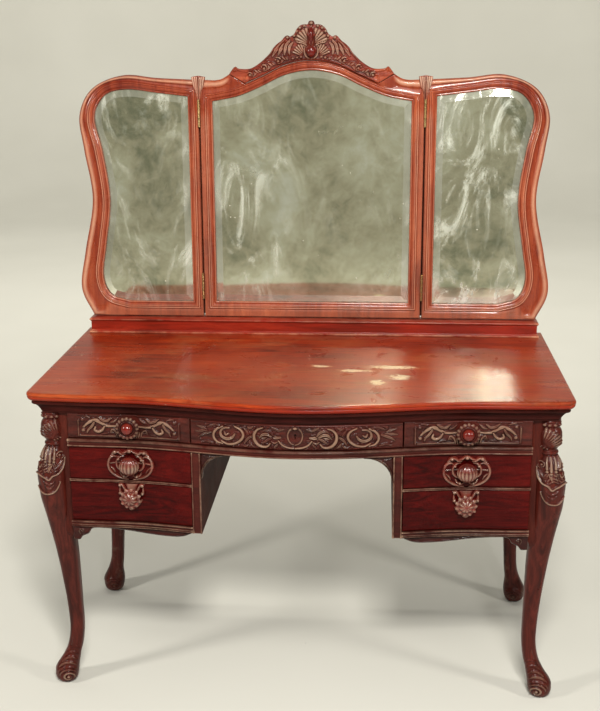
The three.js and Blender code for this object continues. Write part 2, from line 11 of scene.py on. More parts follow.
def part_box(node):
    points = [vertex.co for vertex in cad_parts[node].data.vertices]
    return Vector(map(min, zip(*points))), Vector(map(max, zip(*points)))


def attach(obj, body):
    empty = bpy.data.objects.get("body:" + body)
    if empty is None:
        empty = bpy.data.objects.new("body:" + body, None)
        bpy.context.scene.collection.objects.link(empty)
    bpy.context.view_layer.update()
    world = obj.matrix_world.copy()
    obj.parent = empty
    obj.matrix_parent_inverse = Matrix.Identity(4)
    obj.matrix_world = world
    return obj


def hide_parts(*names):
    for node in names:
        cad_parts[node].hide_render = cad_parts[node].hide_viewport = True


# A bow-fronted vanity table with a triple mirror. Lengths are in millimetres until a mesh is made.
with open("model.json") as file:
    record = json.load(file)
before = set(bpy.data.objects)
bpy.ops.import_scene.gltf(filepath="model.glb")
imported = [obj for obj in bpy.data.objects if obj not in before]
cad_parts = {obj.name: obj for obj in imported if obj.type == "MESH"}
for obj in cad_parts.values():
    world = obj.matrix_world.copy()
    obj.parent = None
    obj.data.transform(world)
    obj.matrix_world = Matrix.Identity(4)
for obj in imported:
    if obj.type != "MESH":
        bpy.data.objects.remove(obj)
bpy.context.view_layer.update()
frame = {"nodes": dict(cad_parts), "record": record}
MM = 0.001
SIDES = (("left", -1), ("right", 1))


def corners(node):
    low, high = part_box(node)
    return np.array(low) / MM, np.array(high) / MM


TOP_LOW, TOP_HIGH = corners("table_top")
COVE_LOW, COVE_HIGH = corners("top_moulding")
TOP_HALF = TOP_HIGH[0]
BOW_DEPTH = 55
BOW_HALF_SPAN = 430
END_SWEEP = 12
FACE_SETBACK = 18


def front_edge(x):
    """How far forward the top's front edge stands at x."""
    x = np.abs(x)
    bow = np.where(x < BOW_HALF_SPAN, BOW_DEPTH * np.cos(np.pi * x / (2 * BOW_HALF_SPAN)) ** 2, 0)
    sweep = np.maximum(0, x - BOW_HALF_SPAN) / (TOP_HALF - BOW_HALF_SPAN)
    return TOP_LOW[1] + BOW_DEPTH - bow + END_SWEEP * sweep**2


def face(x):
    """The y of the curved drawer faces at x."""
    return front_edge(x) + FACE_SETBACK


def smooth_step(value, low, high):
    t = np.clip((value - low) / (high - low), 0, 1)
    return t * t * (3 - 2 * t)


# ---- Meshes ----
def quads(rows, cols, wrap=False):
    """Faces of a grid of points, row by row; wrap joins the last column to the first."""
    i, j = np.meshgrid(np.arange(rows - 1), np.arange(cols if wrap else cols - 1), indexing="ij")
    near, far = i * cols + j, i * cols + (j + 1) % cols
    return np.stack([near, far, far + cols, near + cols], -1).reshape(-1, 4)


def tube(rings):
    """A closed skin over rings of points (levels, round, 3)."""
    rings = np.asarray(rings, float)
    rows, cols, _ = rings.shape
    faces = quads(rows, cols, wrap=True).tolist()
    faces.append(list(range(cols))[::-1])
    faces.append(list(range((rows - 1) * cols, rows * cols)))
    return rings.reshape(-1, 3), faces


def ring_tube(rings):
    """A skin over rings that closes on its first ring, as a picture frame does."""
    rings = np.asarray(rings, float)
    rows, cols, _ = rings.shape
    faces = quads(rows, cols, wrap=True).tolist()
    last = (rows - 1) * cols
    faces += [[last + j, last + (j + 1) % cols, (j + 1) % cols, j] for j in range(cols)]
    return rings.reshape(-1, 3), faces


def slab(front, back_y):
    """A board whose front is a grid of points (rows, cols, 3) and whose back is flat at back_y."""
    rows, cols, _ = front.shape
    index = np.arange(rows * cols).reshape(rows, cols)
    rim = np.concatenate([index[0], index[1:, -1], index[-1, -2::-1], index[-2:0:-1, 0]])
    points = front.reshape(-1, 3)
    back = points[rim].copy()
    back[:, 1] = back_y
    count, first = len(rim), rows * cols
    faces = quads(rows, cols).tolist()
    for k in range(count):
        after = (k + 1) % count
        faces.append([rim[k], first + k, first + after, rim[after]])
    faces.append([first + k for k in range(count)])
    return np.vstack([points, back]), [[int(i) for i in f] for f in faces]


def mirror(parts):
    return [(p[0] * [-1, 1, 1], [f[::-1] for f in p[1]], *p[2:]) for p in parts]


def piece(name, parts, finish, body, slot, replaces=(), sharp=40):
    """One piece of the object, from parts of (points, faces) or (points, faces, worn polish and painted
    highlight at each point).
    """
    points, faces, wear_and_sheen, start = [], [], [], 0
    for part in parts:
        points.append(np.asarray(part[0], float))
        wear_and_sheen.append(part[2] if len(part) > 2 else np.full(len(part[0]), 0.5))
        faces += [[start + i for i in f] for f in part[1]]
        start += len(part[0])
    mesh = bpy.data.meshes.new(name)
    mesh.from_pydata((np.vstack(points) * MM).tolist(), [], faces)
    attribute = mesh.attributes.new("wear_and_sheen", "FLOAT", "POINT")
    attribute.data.foreach_set("value", np.concatenate(wear_and_sheen).astype(np.float32))
    build = bmesh.new()
    build.from_mesh(mesh)
    bmesh.ops.recalc_face_normals(build, faces=build.faces)
    build.to_mesh(mesh)
    build.free()
    mesh.shade_smooth()
    mesh.set_sharp_from_angle(angle=math.radians(sharp))
    mesh.materials.append(finish)
    shown = bpy.data.objects.new(name, mesh)
    bpy.context.scene.collection.objects.link(shown)
    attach(shown, body)
    if replaces:
        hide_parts(*replaces)
    return shown


def pair(name, parts, finish, body, slot, replaces=(), **settings):
    """A piece on the right and its mirror image on the left; {} in a name takes the side's word."""
    for word, side in SIDES:
        chosen = parts if side > 0 else mirror(parts)
        nodes = [node.format(word) for node in replaces]
        piece(name.format(word), chosen, finish, body.format(word), slot, nodes, **settings)


# ---- Lines ----
def along(line, steps):
    """A smooth line through the points, with so many steps to a span."""
    line = np.asarray(line, float)
    if len(line) < 3:
        return line[0] + (line[-1] - line[0]) * np.linspace(0, 1, steps + 1)[:, None]
    full = np.vstack([2 * line[0] - line[1], line, 2 * line[-1] - line[-2]])
    t = np.linspace(0, 1, steps, endpoint=False)[:, None]
    spans = []
    for a, b, c, d in zip(full, full[1:], full[2:], full[3:]):
        spans.append(0.5 * (2 * b + (c - a) * t + (2 * a - 5 * b + 4 * c - d) * t**2
                            + (3 * b - a - 3 * c + d) * t**3))
    return np.vstack([*spans, line[-1:]])


def spaced(line, count):
    """The same line, in so many equal steps."""
    line = np.asarray(line, float)
    run = np.concatenate([[0], np.cumsum(np.linalg.norm(np.diff(line, axis=0), axis=1))])
    at = np.linspace(0, run[-1], count)
    return np.stack([np.interp(at, run, line[:, k]) for k in range(line.shape[1])], -1)


def nearest(x, z, line):
    """Each point's distance from a line, and how far along it the nearest place is, 0 to 1."""
    start, step = line[:-1], np.diff(line, axis=0)
    length = np.maximum(np.linalg.norm(step, axis=1), 1e-9)
    run = np.concatenate([[0], np.cumsum(length)])
    dx, dz = x[:, None] - start[:, 0], z[:, None] - start[:, 1]
    t = np.clip((dx * step[:, 0] + dz * step[:, 1]) / length**2, 0, 1)
    gap = np.hypot(dx - t * step[:, 0], dz - t * step[:, 1])
    best = gap.argmin(1)
    rows = np.arange(len(x))
    return gap[rows, best], (run[best] + t[rows, best] * length[best]) / run[-1]


def mirror_x(line):
    return [(-p[0], *p[1:]) for p in line]


# ---- Carving ----
class Carving:
    """Relief over a sheet of (x, z) points: h is each point's height above the ground, in mm.
    What is laid later lies over what is there, with a thin hollow round it."""

    def __init__(self, x, z):
        self.shape = x.shape
        self.x, self.z = x.ravel(), z.ravel()
        self.h = np.zeros(self.x.size)

    def near(self, low, high):
        return np.nonzero((self.x > low[0]) & (self.x < high[0]) & (self.z > low[1])
                          & (self.z < high[1]))[0]

    def lay(self, at, q, rise, clear):
        h = self.h[at]
        h = np.where(q < clear, np.minimum(h, 0.35 * h), h)
        self.h[at] = np.where(q < 1, np.maximum(h, rise), h)

    def stroke(self, line, widths, height, crease=0.0, clear=1.3, steps=8):
        """A rounded strip along a smooth line; widths are half widths, spread along it."""
        line = along(line, steps)
        reach = max(widths) * clear
        at = self.near(line.min(0) - reach, line.max(0) + reach)
        if not len(at):
            return
        gap, t = nearest(self.x[at], self.z[at], line)
        q = gap / np.interp(t, np.linspace(0, 1, len(widths)), widths)
        heights = np.interp(t, np.linspace(0, 1, len(np.atleast_1d(height))), np.atleast_1d(height))
        rise = heights * np.sqrt(np.clip(1 - q**2, 0, 1)) * (1 - crease * np.exp(-((q / 0.25) ** 2)))
        self.lay(at, q, rise, clear)

    def dome(self, centre, radii, height, clear=1.3):
        rx, rz = radii
        reach = np.array([rx, rz]) * clear
        at = self.near(np.array(centre) - reach, np.array(centre) + reach)
        q = np.hypot((self.x[at] - centre[0]) / rx, (self.z[at] - centre[1]) / rz)
        self.lay(at, q, height * np.sqrt(np.clip(1 - q**2, 0, 1)), clear)

    def scroll(self, centre, radius, start, turns, width, height, hand=1, eye=1.3):
        """A spiral winding in from radius, from the angle start in degrees, to a round eye."""
        t = np.linspace(0, 1, int(10 * turns) + 3)
        turn = np.radians(start + hand * 360 * turns * t)
        r = radius * (1 - 0.8 * t)
        line = np.stack([centre[0] + r * np.cos(turn), centre[1] + r * np.sin(turn)], -1)
        self.stroke(line, [width * 0.5, width, width * 0.9, width * 0.7], height, clear=1.5, steps=3)
        self.dome(centre, (eye * width, eye * width), height * 1.15)

    def leaf(self, spine, width, height, lobes):
        """An acanthus leaf: lobes curling forward off a spine, with the spine's rib on top."""
        line = along(spine, 8)
        for k in reversed(range(lobes)):
            t = (k + 0.35) / lobes
            i = min(int(t * (len(line) - 1)), len(line) - 2)
            ahead = (line[i + 1] - line[i]) / np.linalg.norm(line[i + 1] - line[i])
            long = width * (1 - 0.5 * t)
            for side in (1, -1):
                out = side * np.array([-ahead[1], ahead[0]])
                steps = [(0, 0), (0.42, 0.3), (0.85, 0.8), (0.8, 1.25)]
                lobe = [line[i] + long * (a * out + b * ahead) for a, b in steps]
                self.stroke(lobe, [0.2 * long, 0.34 * long, 0.3 * long, 0.1 * long], height * 0.85,
                            crease=0.4)
        self.stroke(spine, [0.2 * width, 0.24 * width, 0.16 * width, 0.05 * width], height, crease=0.3,
                    clear=1.15)

    def shell(self, centre, radius, start, stop, ribs, height, inner):
        """A fan of ribs between two angles in degrees, from the share inner of the radius outwards."""
        step = math.radians((stop - start) / ribs)
        for k in range(ribs):
            turn = math.radians(start) + (k + 0.5) * step
            ray = np.array([math.cos(turn), math.sin(turn)])
            line = [np.array(centre) + ray * radius * t for t in (inner, 0.6, 0.93)]
            half = abs(0.5 * step) * radius
            self.stroke(line, [inner * half + 0.3, 0.62 * half, 0.95 * half],
                        [0.5 * height, height, 0.9 * height], clear=1.05)

    def pebble(self, depth, size, seed):
        """A punched ground: small dimples where nothing is carved."""
        random = np.random.default_rng(seed)
        waves = random.normal(size=(14, 2)) / size
        phase = random.uniform(0, 2 * np.pi, 14)
        rough = np.sin(self.x[:, None] * waves[:, 0] + self.z[:, None] * waves[:, 1] + phase).sum(1) / 5
        self.h += np.where(self.h < 0.3, depth * rough, 0)

    def heights(self):
        return self.h.reshape(self.shape)

    def wear_and_sheen(self, full):
        """How worn each point is, and how much highlight is painted on it: 0 in the hollows to 1 on the
        tops.
        """
        return np.clip(self.h / full, 0, 1) ** 1.6


def inside(points, outline):
    """Which points lie inside an outline."""
    x, z = points[:, 0:1], points[:, 1:2]
    a, b = outline, np.roll(outline, -1, axis=0)
    crosses = (a[:, 1] > z) != (b[:, 1] > z)
    rise = np.where(b[:, 1] == a[:, 1], 1e-9, b[:, 1] - a[:, 1])
    at = a[:, 0] + (z - a[:, 1]) * (b[:, 0] - a[:, 0]) / rise
    return (crosses & (x < at)).sum(1) % 2 == 1


def carved_board(outline, step, carve, front, back_y, round_over, full):
    """A board of any outline (x, z), carved by carve; front(x, z) is the uncarved surface's y."""
    rim = subdivided(outline, step)
    low, high = rim.min(0), rim.max(0)
    closed = np.vstack([rim, rim[:1]])
    x, z = np.meshgrid(np.arange(low[0] + step / 2, high[0], step),
                       np.arange(low[1] + step / 2, high[1], step))
    x[1::2] += step / 2
    cells = np.stack([x.ravel(), z.ravel()], -1)
    cells = cells[inside(cells, rim)]
    cells = cells[edge_distance(cells, closed) > 0.6 * step]
    flat = np.vstack([rim, cells])
    count = len(rim)
    loop = list(range(count))
    found = delaunay_2d_cdt([Vector(p) for p in flat], [], [loop], 1, 1e-6)
    flat = np.array([(v.x, v.y) for v in found[0]])
    gap = edge_distance(flat, closed)
    carving = Carving(flat[:, 0], flat[:, 1])
    carve(carving)
    edge = np.clip(1 - gap / round_over, 0, 1)
    drop = round_over * (1 - np.sqrt(1 - edge**2))
    y = front(flat[:, 0], flat[:, 1]) - carving.h * np.clip(gap / round_over, 0, 1) + drop
    points = np.column_stack([flat[:, 0], y, flat[:, 1]])
    back = points[:count].copy()
    back[:, 1] = back_y
    first = len(points)
    faces = [list(f) for f in found[2]]
    for k in range(count):
        after = (k + 1) % count
        faces.append([k, first + k, first + after, after])
    faces.append([first + k for k in range(count)])
    wear_and_sheen = np.concatenate([carving.wear_and_sheen(full), np.full(count, 0.4)])
    return np.vstack([points, back]), faces, wear_and_sheen


def edge_distance(points, closed):
    """The distance of each (x, z) point from a closed outline."""
    blocks = np.array_split(points, max(1, len(points) // 400))
    return np.concatenate([nearest(block[:, 0], block[:, 1], closed)[0] for block in blocks])


def subdivided(outline, step):
    """A closed outline with no stretch longer than step; its given points stay."""
    outline = np.asarray(outline, float)
    points = []
    for a, b in zip(outline, np.roll(outline, -1, axis=0)):
        count = max(1, math.ceil(np.linalg.norm(b - a) / step))
        points += [a + (b - a) * k / count for k in range(count)]
    return np.array(points)


STRIP_SINK = 0.6
# how pale a strip's crown is painted: wear and painted highlight
STRIP_WEAR_AND_SHEEN = 0.8


def strip(line, widths, heights, base, sides=9):
    """A half-round strip along a smooth line (x, z), standing on the surface y = base(x, z)."""
    line = along(line, 8)
    t = np.linspace(0, 1, len(line))
    half = np.interp(t, np.linspace(0, 1, len(widths)), widths)
    tall = np.interp(t, np.linspace(0, 1, len(heights)), heights)
    ahead = np.gradient(line, axis=0)
    ahead /= np.maximum(np.linalg.norm(ahead, axis=1), 1e-9)[:, None]
    across = np.column_stack([-ahead[:, 1], ahead[:, 0]])
    turn = np.linspace(0, math.pi, sides)
    place = line[:, None] + across[:, None] * (half[:, None] * np.cos(turn))[..., None]
    rise = tall[:, None] * np.sin(turn) ** 0.85 - STRIP_SINK
    y = base(place[..., 0], place[..., 1]) - rise
    points, faces = tube(np.stack([place[..., 0], y, place[..., 1]], -1))
    # the strip's crown is painted paler, as wear and painted highlight
    return points, faces, (np.sin(turn) * np.ones((len(line), 1))).ravel() * STRIP_WEAR_AND_SHEEN


def turned(centre, profile, base, ribs=0, depth=0.0, cols=56, full=1.0):
    """A round form standing out of the surface at centre (x, z): the profile is (radius, how far out).
    Ribs swell the places that the profile's third number marks."""
    cx, cz = centre
    around = np.linspace(0, 2 * math.pi, cols, endpoint=False)
    rings, wear_and_sheen = [], []
    for radius, out, ribbed in profile:
        wave = 1 + depth * ribbed * np.cos(ribs * around)
        x, z = cx + radius * wave * np.cos(around), cz + radius * wave * np.sin(around)
        y = np.full(cols, base(cx, cz) - out) - 5 * depth * ribbed * np.cos(ribs * around)
        rings.append(np.column_stack([x, y, z]))
        # rib crests are painted paler, as wear and painted highlight
        wear_and_sheen.append(full * (0.35 + 0.65 * ribbed * (0.5 + 0.5 * np.cos(ribs * around))) if ribbed
                    else np.full(cols, 0.3 * full))
    points, faces = tube(rings)
    return points, faces, np.concatenate(wear_and_sheen)


def scallop(centre, radii, ribs, depth):
    """A ribbed shell-shaped ball: its ribs run from its top to its foot. The centre is (x, y, z)."""
    down = np.linspace(0.04, math.pi - 0.04, 26)[:, None]
    around = np.linspace(0, 2 * math.pi, 84, endpoint=False)[None]
    wave = np.abs(np.cos(ribs * around / 2)) ** 0.7
    scale = 1 + depth * wave * np.sin(down) ** 0.5
    wide = np.sin(down) * (1 + 0.16 * (down / math.pi - 0.5))
    x = radii[0] * wide * np.cos(around) * scale
    y = radii[1] * wide * np.sin(around) * scale
    z = radii[2] * np.cos(down) * np.ones_like(around)
    points, faces = tube(np.stack([x, y, z], -1) + np.array(centre))
    # rib crests are painted paler, as wear and painted highlight, less so near the top
    return points, faces, ((0.1 + 1.1 * wave * np.sin(down)) * smooth_step(down, 0.2, 1.9)).ravel()


# ---- Materials ----
class Shader:
    """Builds a node material with short calls: add() makes a node, and its inputs are values or
    sockets, named with _ for a space, or i and their number."""

    def __init__(self, name):
        self.material = bpy.data.materials.new(name)
        self.material.use_nodes = True
        self.tree = self.material.node_tree
        self.tree.nodes.clear()

    def add(self, kind, settings=(), **inputs):
        node = self.tree.nodes.new("ShaderNode" + kind)
        for key, value in dict(settings).items():
            setattr(node, key, value)
        for key, value in inputs.items():
            numbered = key[0] == "i" and key[1:].isdigit()
            slot = node.inputs[int(key[1:]) if numbered else key.replace("_", " ")]
            if isinstance(value, bpy.types.NodeSocket):
                self.tree.links.new(value, slot)
            else:
                slot.default_value = value
        return node

    def place(self, scale):
        """Object coordinates, scaled along each axis."""
        coordinates = self.add("TexCoord").outputs["Object"]
        return self.add("Mapping", i0=coordinates, i3=scale).outputs[0]

    def noise(self, vector, scale, detail, rough=0.55, distortion=0.0):
        return self.add("TexNoise", Vector=vector, Scale=scale, Detail=detail, Roughness=rough,
                        Distortion=distortion).outputs["Fac"]

    def ramp(self, value, stops):
        node = self.add("ValToRGB", i0=value)
        bar = node.color_ramp.elements
        while len(bar) < len(stops):
            bar.new(0.5)
        for element, (at, colour) in zip(bar, stops):
            element.position = at
            element.color = (*colour, 1) if len(colour) == 3 else colour
        return node.outputs[0]

    def grey(self, value, low, high):
        """0 up to low, 1 from high on."""
        return self.add("MapRange", i0=value, i1=low, i2=high, i3=0.0, i4=1.0).outputs[0]

    def scale(self, value, to_low, to_high):
        return self.add("MapRange", i0=value, i1=0.0, i2=1.0, i3=to_low, i4=to_high).outputs[0]

    def math(self, operation, a, b=0.0):
        return self.add("Math", {"operation": operation}, i0=a, i1=b).outputs[0]

    def times(self, a, b):
        return self.math("MULTIPLY", a, b)

    def worn(self):
        """How worn the surface is and where highlight is painted, as the mesh says."""
        return self.add("Attribute", {"attribute_name": "wear_and_sheen"}).outputs["Fac"]

    def pointiness(self, low, high):
        return self.grey(self.add("NewGeometry").outputs["Pointiness"], low, high)

    def mix(self, factor, a, b):
        node = self.add("Mix", {"data_type": "RGBA"}, i0=factor)
        for slot, value in ((node.inputs[6], a), (node.inputs[7], b)):
            if isinstance(value, bpy.types.NodeSocket):
                self.tree.links.new(value, slot)
            else:
                slot.default_value = (*value, 1)
        return node.outputs[2]

    def bump(self, height, strength, distance, normal=None):
        node = self.add("Bump", Height=height, Strength=strength, Distance=distance)
        if normal:
            self.tree.links.new(normal, node.inputs["Normal"])
        return node.outputs[0]

    def surface(self, **inputs):
        shader = self.add("BsdfPrincipled", **inputs)
        self.add("OutputMaterial", Surface=shader.outputs[0])
        return self.material


GRAIN = {"x": (1.0, 9.0, 9.0), "z": (9.0, 9.0, 1.0), "y": (9.0, 1.0, 9.0)}


def mahogany(name, dark, mid, light, axis, rough, coat, gloss, worn, figure=1.0, edge_wear=0.0,
             faded=None, fade=0.0, spill_and_edge_shade=False, rubbed_and_sheen=0.0):
    """French-polished mahogany with its grain along one axis, rubbed lighter on its edges."""
    s = Shader(name)
    along_grain = s.place(GRAIN[axis])
    even = s.place((1, 1, 1))
    stripes = s.noise(along_grain, 5.0, 5.0, 0.6, 1.2 * figure)
    fibres = s.noise(along_grain, 38.0, 3.0, 0.65, 0.4)
    cloud = s.noise(even, 3.2, 3.0, 0.5, 0.3)
    tone = s.math("ADD", s.times(stripes, 0.55), s.times(cloud, 0.45))
    colour = s.ramp(tone, [(0.36, dark), (0.5, mid), (0.66, light)])
    streak = s.grey(fibres, 0.52, 0.72)
    colour = s.mix(s.times(streak, 0.55), colour, dark)
    pores = s.grey(s.noise(along_grain, 150.0, 2.0, 0.6), 0.58, 0.7)
    colour = s.mix(s.times(pores, 0.35), colour, [c * 0.35 for c in dark])
    if faded:
        patch = s.grey(s.noise(even, 7.0, 6.0, 0.68, 0.8), 0.5, 0.72)
        colour = s.mix(s.times(patch, fade), colour, faded)
    # spill patches and chips, with painted shade on the lower half of the top's edge
    if spill_and_edge_shade:
        colour = spills_and_edge_shade(s, even, colour)
    edges = s.pointiness(0.52, 0.58)
    uneven = s.grey(s.noise(even, 30.0, 4.0, 0.7), 0.35, 0.6)
    colour = s.mix(s.times(s.times(edges, uneven), edge_wear), colour, worn)
    # pale crowns where the mesh's wear is high are worn polish and painted highlight
    if rubbed_and_sheen:
        wear_and_sheen = s.worn()
        patchy = s.scale(s.noise(even, 14.0, 5.0, 0.7), 0.35, 1.5)
        colour = s.mix(s.times(s.times(s.grey(wear_and_sheen, 0.35, 1.0), patchy), rubbed_and_sheen), colour, worn)
        # painted shade: darker where the wear is low, in the grooves
        colour = s.mix(s.times(s.grey(wear_and_sheen, 0.25, 0.0), 0.6), colour, dark)
    smear = s.noise(even, 11.0, 5.0, 0.65, 1.0)
    roughness = s.scale(smear, rough - 0.07, rough + 0.16)
    relief = s.bump(pores, 0.12, 0.0004)
    relief = s.bump(s.noise(even, 9.0, 2.0), 0.05, 0.004, relief)
    return s.surface(Base_Color=colour, Roughness=roughness, Normal=relief, Coat_Weight=coat,
                     Coat_Roughness=0.1, Specular_IOR_Level=gloss)


TOP_SURFACE = 0.762  # metres
# Where a spill lifted the top's polish: the middle (x, y) and half size of each patch, in metres.
SPILLS = [((0.215, -0.020), (0.105, 0.024)), ((0.232, -0.105), (0.045, 0.036)),
          ((0.180, -0.150), (0.03, 0.036)), ((0.125, -0.055), (0.07, 0.02)),
          ((0.04, -0.02), (0.04, 0.014))]


def spills_and_edge_shade(s, even, colour):
    """Pale ragged patches in the polish, a few small chips, and painted shade on the lower half of the
    top's edge.
    """
    ragged = s.noise(s.place((0.6, 1, 1)), 62.0, 9.0, 0.78, 1.6)
    total = None
    for (x, y), (rx, ry) in SPILLS:
        place = s.add("TexCoord").outputs["Object"]
        spot = s.add("Mapping", {"vector_type": "TEXTURE"}, i0=place, i1=(x, y, TOP_SURFACE),
                     i3=(rx, ry, 0.05))
        reach = s.add("VectorMath", {"operation": "LENGTH"}, i0=spot.outputs[0]).outputs["Value"]
        near = s.grey(reach, 1.0, 0.35)
        total = near if total is None else s.math("MAXIMUM", total, near)
    thin = s.times(s.grey(total, 0.05, 0.8), s.grey(s.noise(even, 22.0, 6.0, 0.7), 0.42, 0.62))
    colour = s.mix(s.times(thin, 0.45), colour, (0.50, 0.24, 0.09))
    patch = s.grey(s.math("ADD", s.times(total, 0.27), ragged), 0.69, 0.74)
    patch = s.times(patch, s.grey(total, 0.0, 0.15))
    colour = s.mix(patch, colour, (0.74, 0.60, 0.40))
    chips = s.add("TexVoronoi", {"feature": "F1"}, Vector=even, Scale=30.0).outputs["Distance"]
    chance = s.noise(even, 5.0, 2.0)
    chips = s.times(s.grey(chips, 0.07, 0.045), s.grey(chance, 0.56, 0.6))
    colour = s.mix(chips, colour, (0.6, 0.42, 0.27))
    # painted shade: the lower half of the top's rounded edge, which turns downwards, is darker
    height = s.add("SeparateXYZ", i0=even).outputs["Z"]
    return s.mix(s.times(s.grey(height, 0.757, 0.751), 0.7), colour, (0.19, 0.008, 0.003))


def carved_finish(name, hollow, body, top, rough=0.32, gloss=0.3, coat=0.12, axis="x", rub_and_sheen=(0.42, 1.15),
                  plain_beyond=None):
    """Carved mahogany: hollows darkened by grime and painted shade, tops paler as worn polish and
    painted highlight.
    """
    s = Shader(name)
    even = s.place((1, 1, 1))
    wear_and_sheen = s.worn()
    cloud = s.noise(even, 24.0, 5.0, 0.7, 0.4)
    stripes = s.noise(s.place(GRAIN[axis]), 6.0, 5.0, 0.62, 1.0)
    fibres = s.noise(s.place(GRAIN[axis]), 60.0, 3.0, 0.65)
    ground = s.ramp(stripes, [(0.36, [0.5 * c for c in body]), (0.5, body),
                              (0.68, [1.7 * c for c in body])])
    ground = s.mix(s.times(s.grey(fibres, 0.52, 0.7), 0.4), ground, hollow)
    # paler tops where the wear and a cloud noise are high: worn polish and painted highlight
    level = s.math("ADD", wear_and_sheen, s.times(s.math("SUBTRACT", cloud, 0.5), 1.1))
    colour = s.mix(s.times(s.grey(level, *rub_and_sheen), 0.85), ground, top)
    if plain_beyond:
        outwards = s.math("ABSOLUTE", s.add("SeparateXYZ", i0=even).outputs["X"])
        plain = s.ramp(stripes, [(0.36, (0.17, 0.022, 0.008)), (0.5, (0.27, 0.044, 0.017)),
                                 (0.68, (0.36, 0.08, 0.03))])
        colour = s.mix(s.grey(outwards, plain_beyond, plain_beyond + 0.006), colour, plain)
    # convex edges painted paler, as wear and painted highlight
    edges = s.pointiness(0.55, 0.70)
    colour = s.mix(s.times(edges, 0.4), colour, top)
    # painted shade and grime darken the concave hollows
    dirt_and_shade = s.pointiness(0.488, 0.42)
    colour = s.mix(s.times(dirt_and_shade, 0.9), colour, [c * 0.3 for c in hollow])
    roughness = s.scale(s.noise(even, 40.0, 3.0), rough - 0.1, rough + 0.2)
    relief = s.bump(s.noise(even, 260.0, 3.0, 0.6), 0.2, 0.0004)
    return s.surface(Base_Color=colour, Roughness=roughness, Normal=relief, Coat_Weight=coat,
                     Coat_Roughness=0.12, Specular_IOR_Level=gloss)


def old_mirror(name):
    """Silvered glass gone cloudy: wiped smears, specks, and silver lost in patches."""
    s = Shader(name)
    even = s.place((1, 1, 1))
    blotch = s.noise(even, 3.4, 5.0, 0.6, 0.9)
    fine = s.noise(even, 26.0, 6.0, 0.72, 0.5)
    tone = s.math("ADD", s.times(blotch, 0.7), s.times(fine, 0.3))
    colour = s.ramp(tone, [(0.38, (0.30, 0.32, 0.22)), (0.47, (0.53, 0.52, 0.37)),
                           (0.55, (0.67, 0.68, 0.51)), (0.66, (0.84, 0.88, 0.75))])
    swirl = s.noise(s.place((2.4, 1, 1.0)), 3.6, 7.0, 0.68, 3.2)
    across = s.grey(s.add("SeparateXYZ", i0=even).outputs["X"], 0.25, 0.32)
    smeared = s.math("ADD", s.noise(even, 2.2, 2.0), s.times(across, 0.16))
    wiped = s.times(s.grey(swirl, 0.49, 0.66), s.grey(smeared, 0.42, 0.58))
    colour = s.mix(s.times(wiped, 0.65), colour, (0.84, 0.88, 0.80))
    lost = s.grey(s.noise(even, 7.0, 8.0, 0.78, 0.5), 0.63, 0.69)
    colour = s.mix(s.times(lost, 0.5), colour, (0.12, 0.13, 0.09))
    speck = s.add("TexVoronoi", {"feature": "F1"}, Vector=even, Scale=62.0).outputs["Distance"]
    chance = s.noise(even, 11.0, 2.0)
    specks = s.times(s.grey(speck, 0.12, 0.08), s.grey(chance, 0.6, 0.64))
    colour = s.mix(s.times(specks, 0.8), colour, (0.78, 0.76, 0.65))
    # painted reflection: the bevel, marked by the mesh, is painted paler, like a brighter reflection
    bevel = s.worn()
    ground = s.times(bevel, s.scale(s.noise(even, 5.0, 3.0), 0.1, 0.7))
    colour = s.mix(ground, colour, (0.92, 0.94, 0.86))
    dull = s.math("MAXIMUM", s.times(lost, 0.6), s.math("MAXIMUM", specks, s.times(wiped, 0.45)))
    mirroring = s.scale(dull, 0.86, 0.35)
    roughness = s.scale(s.math("MAXIMUM", wiped, s.times(fine, 0.35)), 0.02, 0.22)
    return s.surface(Base_Color=colour, Metallic=mirroring, Roughness=roughness, Specular_IOR_Level=0.5)


def metal(name, bright, dull, rough):
    s = Shader(name)
    even = s.place((1, 1, 1))
    tarnish = s.grey(s.noise(even, 60.0, 6.0, 0.65), 0.4, 0.62)
    scratches = s.noise(s.place((1, 1, 14)), 90.0, 3.0)
    colour = s.mix(tarnish, bright, dull)
    roughness = s.scale(tarnish, rough, rough + 0.25)
    return s.surface(Base_Color=colour, Metallic=1.0, Roughness=roughness,
                     Normal=s.bump(scratches, 0.1, 0.0004))


def plain_board(name, dark, light, axis):
    """Unpolished secondary wood, with open grain and dust."""
    s = Shader(name)
    along_grain = s.place(GRAIN[axis])
    rings = s.noise(along_grain, 9.0, 5.0, 0.6, 1.6)
    fibres = s.noise(along_grain, 70.0, 3.0, 0.7)
    colour = s.ramp(rings, [(0.35, dark), (0.62, light)])
    colour = s.mix(s.times(s.grey(fibres, 0.5, 0.7), 0.4), colour, dark)
    stain = s.grey(s.noise(s.place((1, 1, 1)), 8.0, 5.0, 0.7), 0.5, 0.75)
    colour = s.mix(s.times(stain, 0.35), colour, [c * 0.5 for c in dark])
    return s.surface(Base_Color=colour, Roughness=0.62, Normal=s.bump(fibres, 0.25, 0.0006))


TOP_WOOD = mahogany("top_mahogany", (0.09, 0.007, 0.002), (0.25, 0.021, 0.003), (0.37, 0.048, 0.007),
                    "x", rough=0.25, coat=0.05, gloss=0.16, faded=(0.33, 0.12, 0.045), fade=0.4,
                    worn=(0.40, 0.09, 0.03), edge_wear=0.25, spill_and_edge_shade=True)
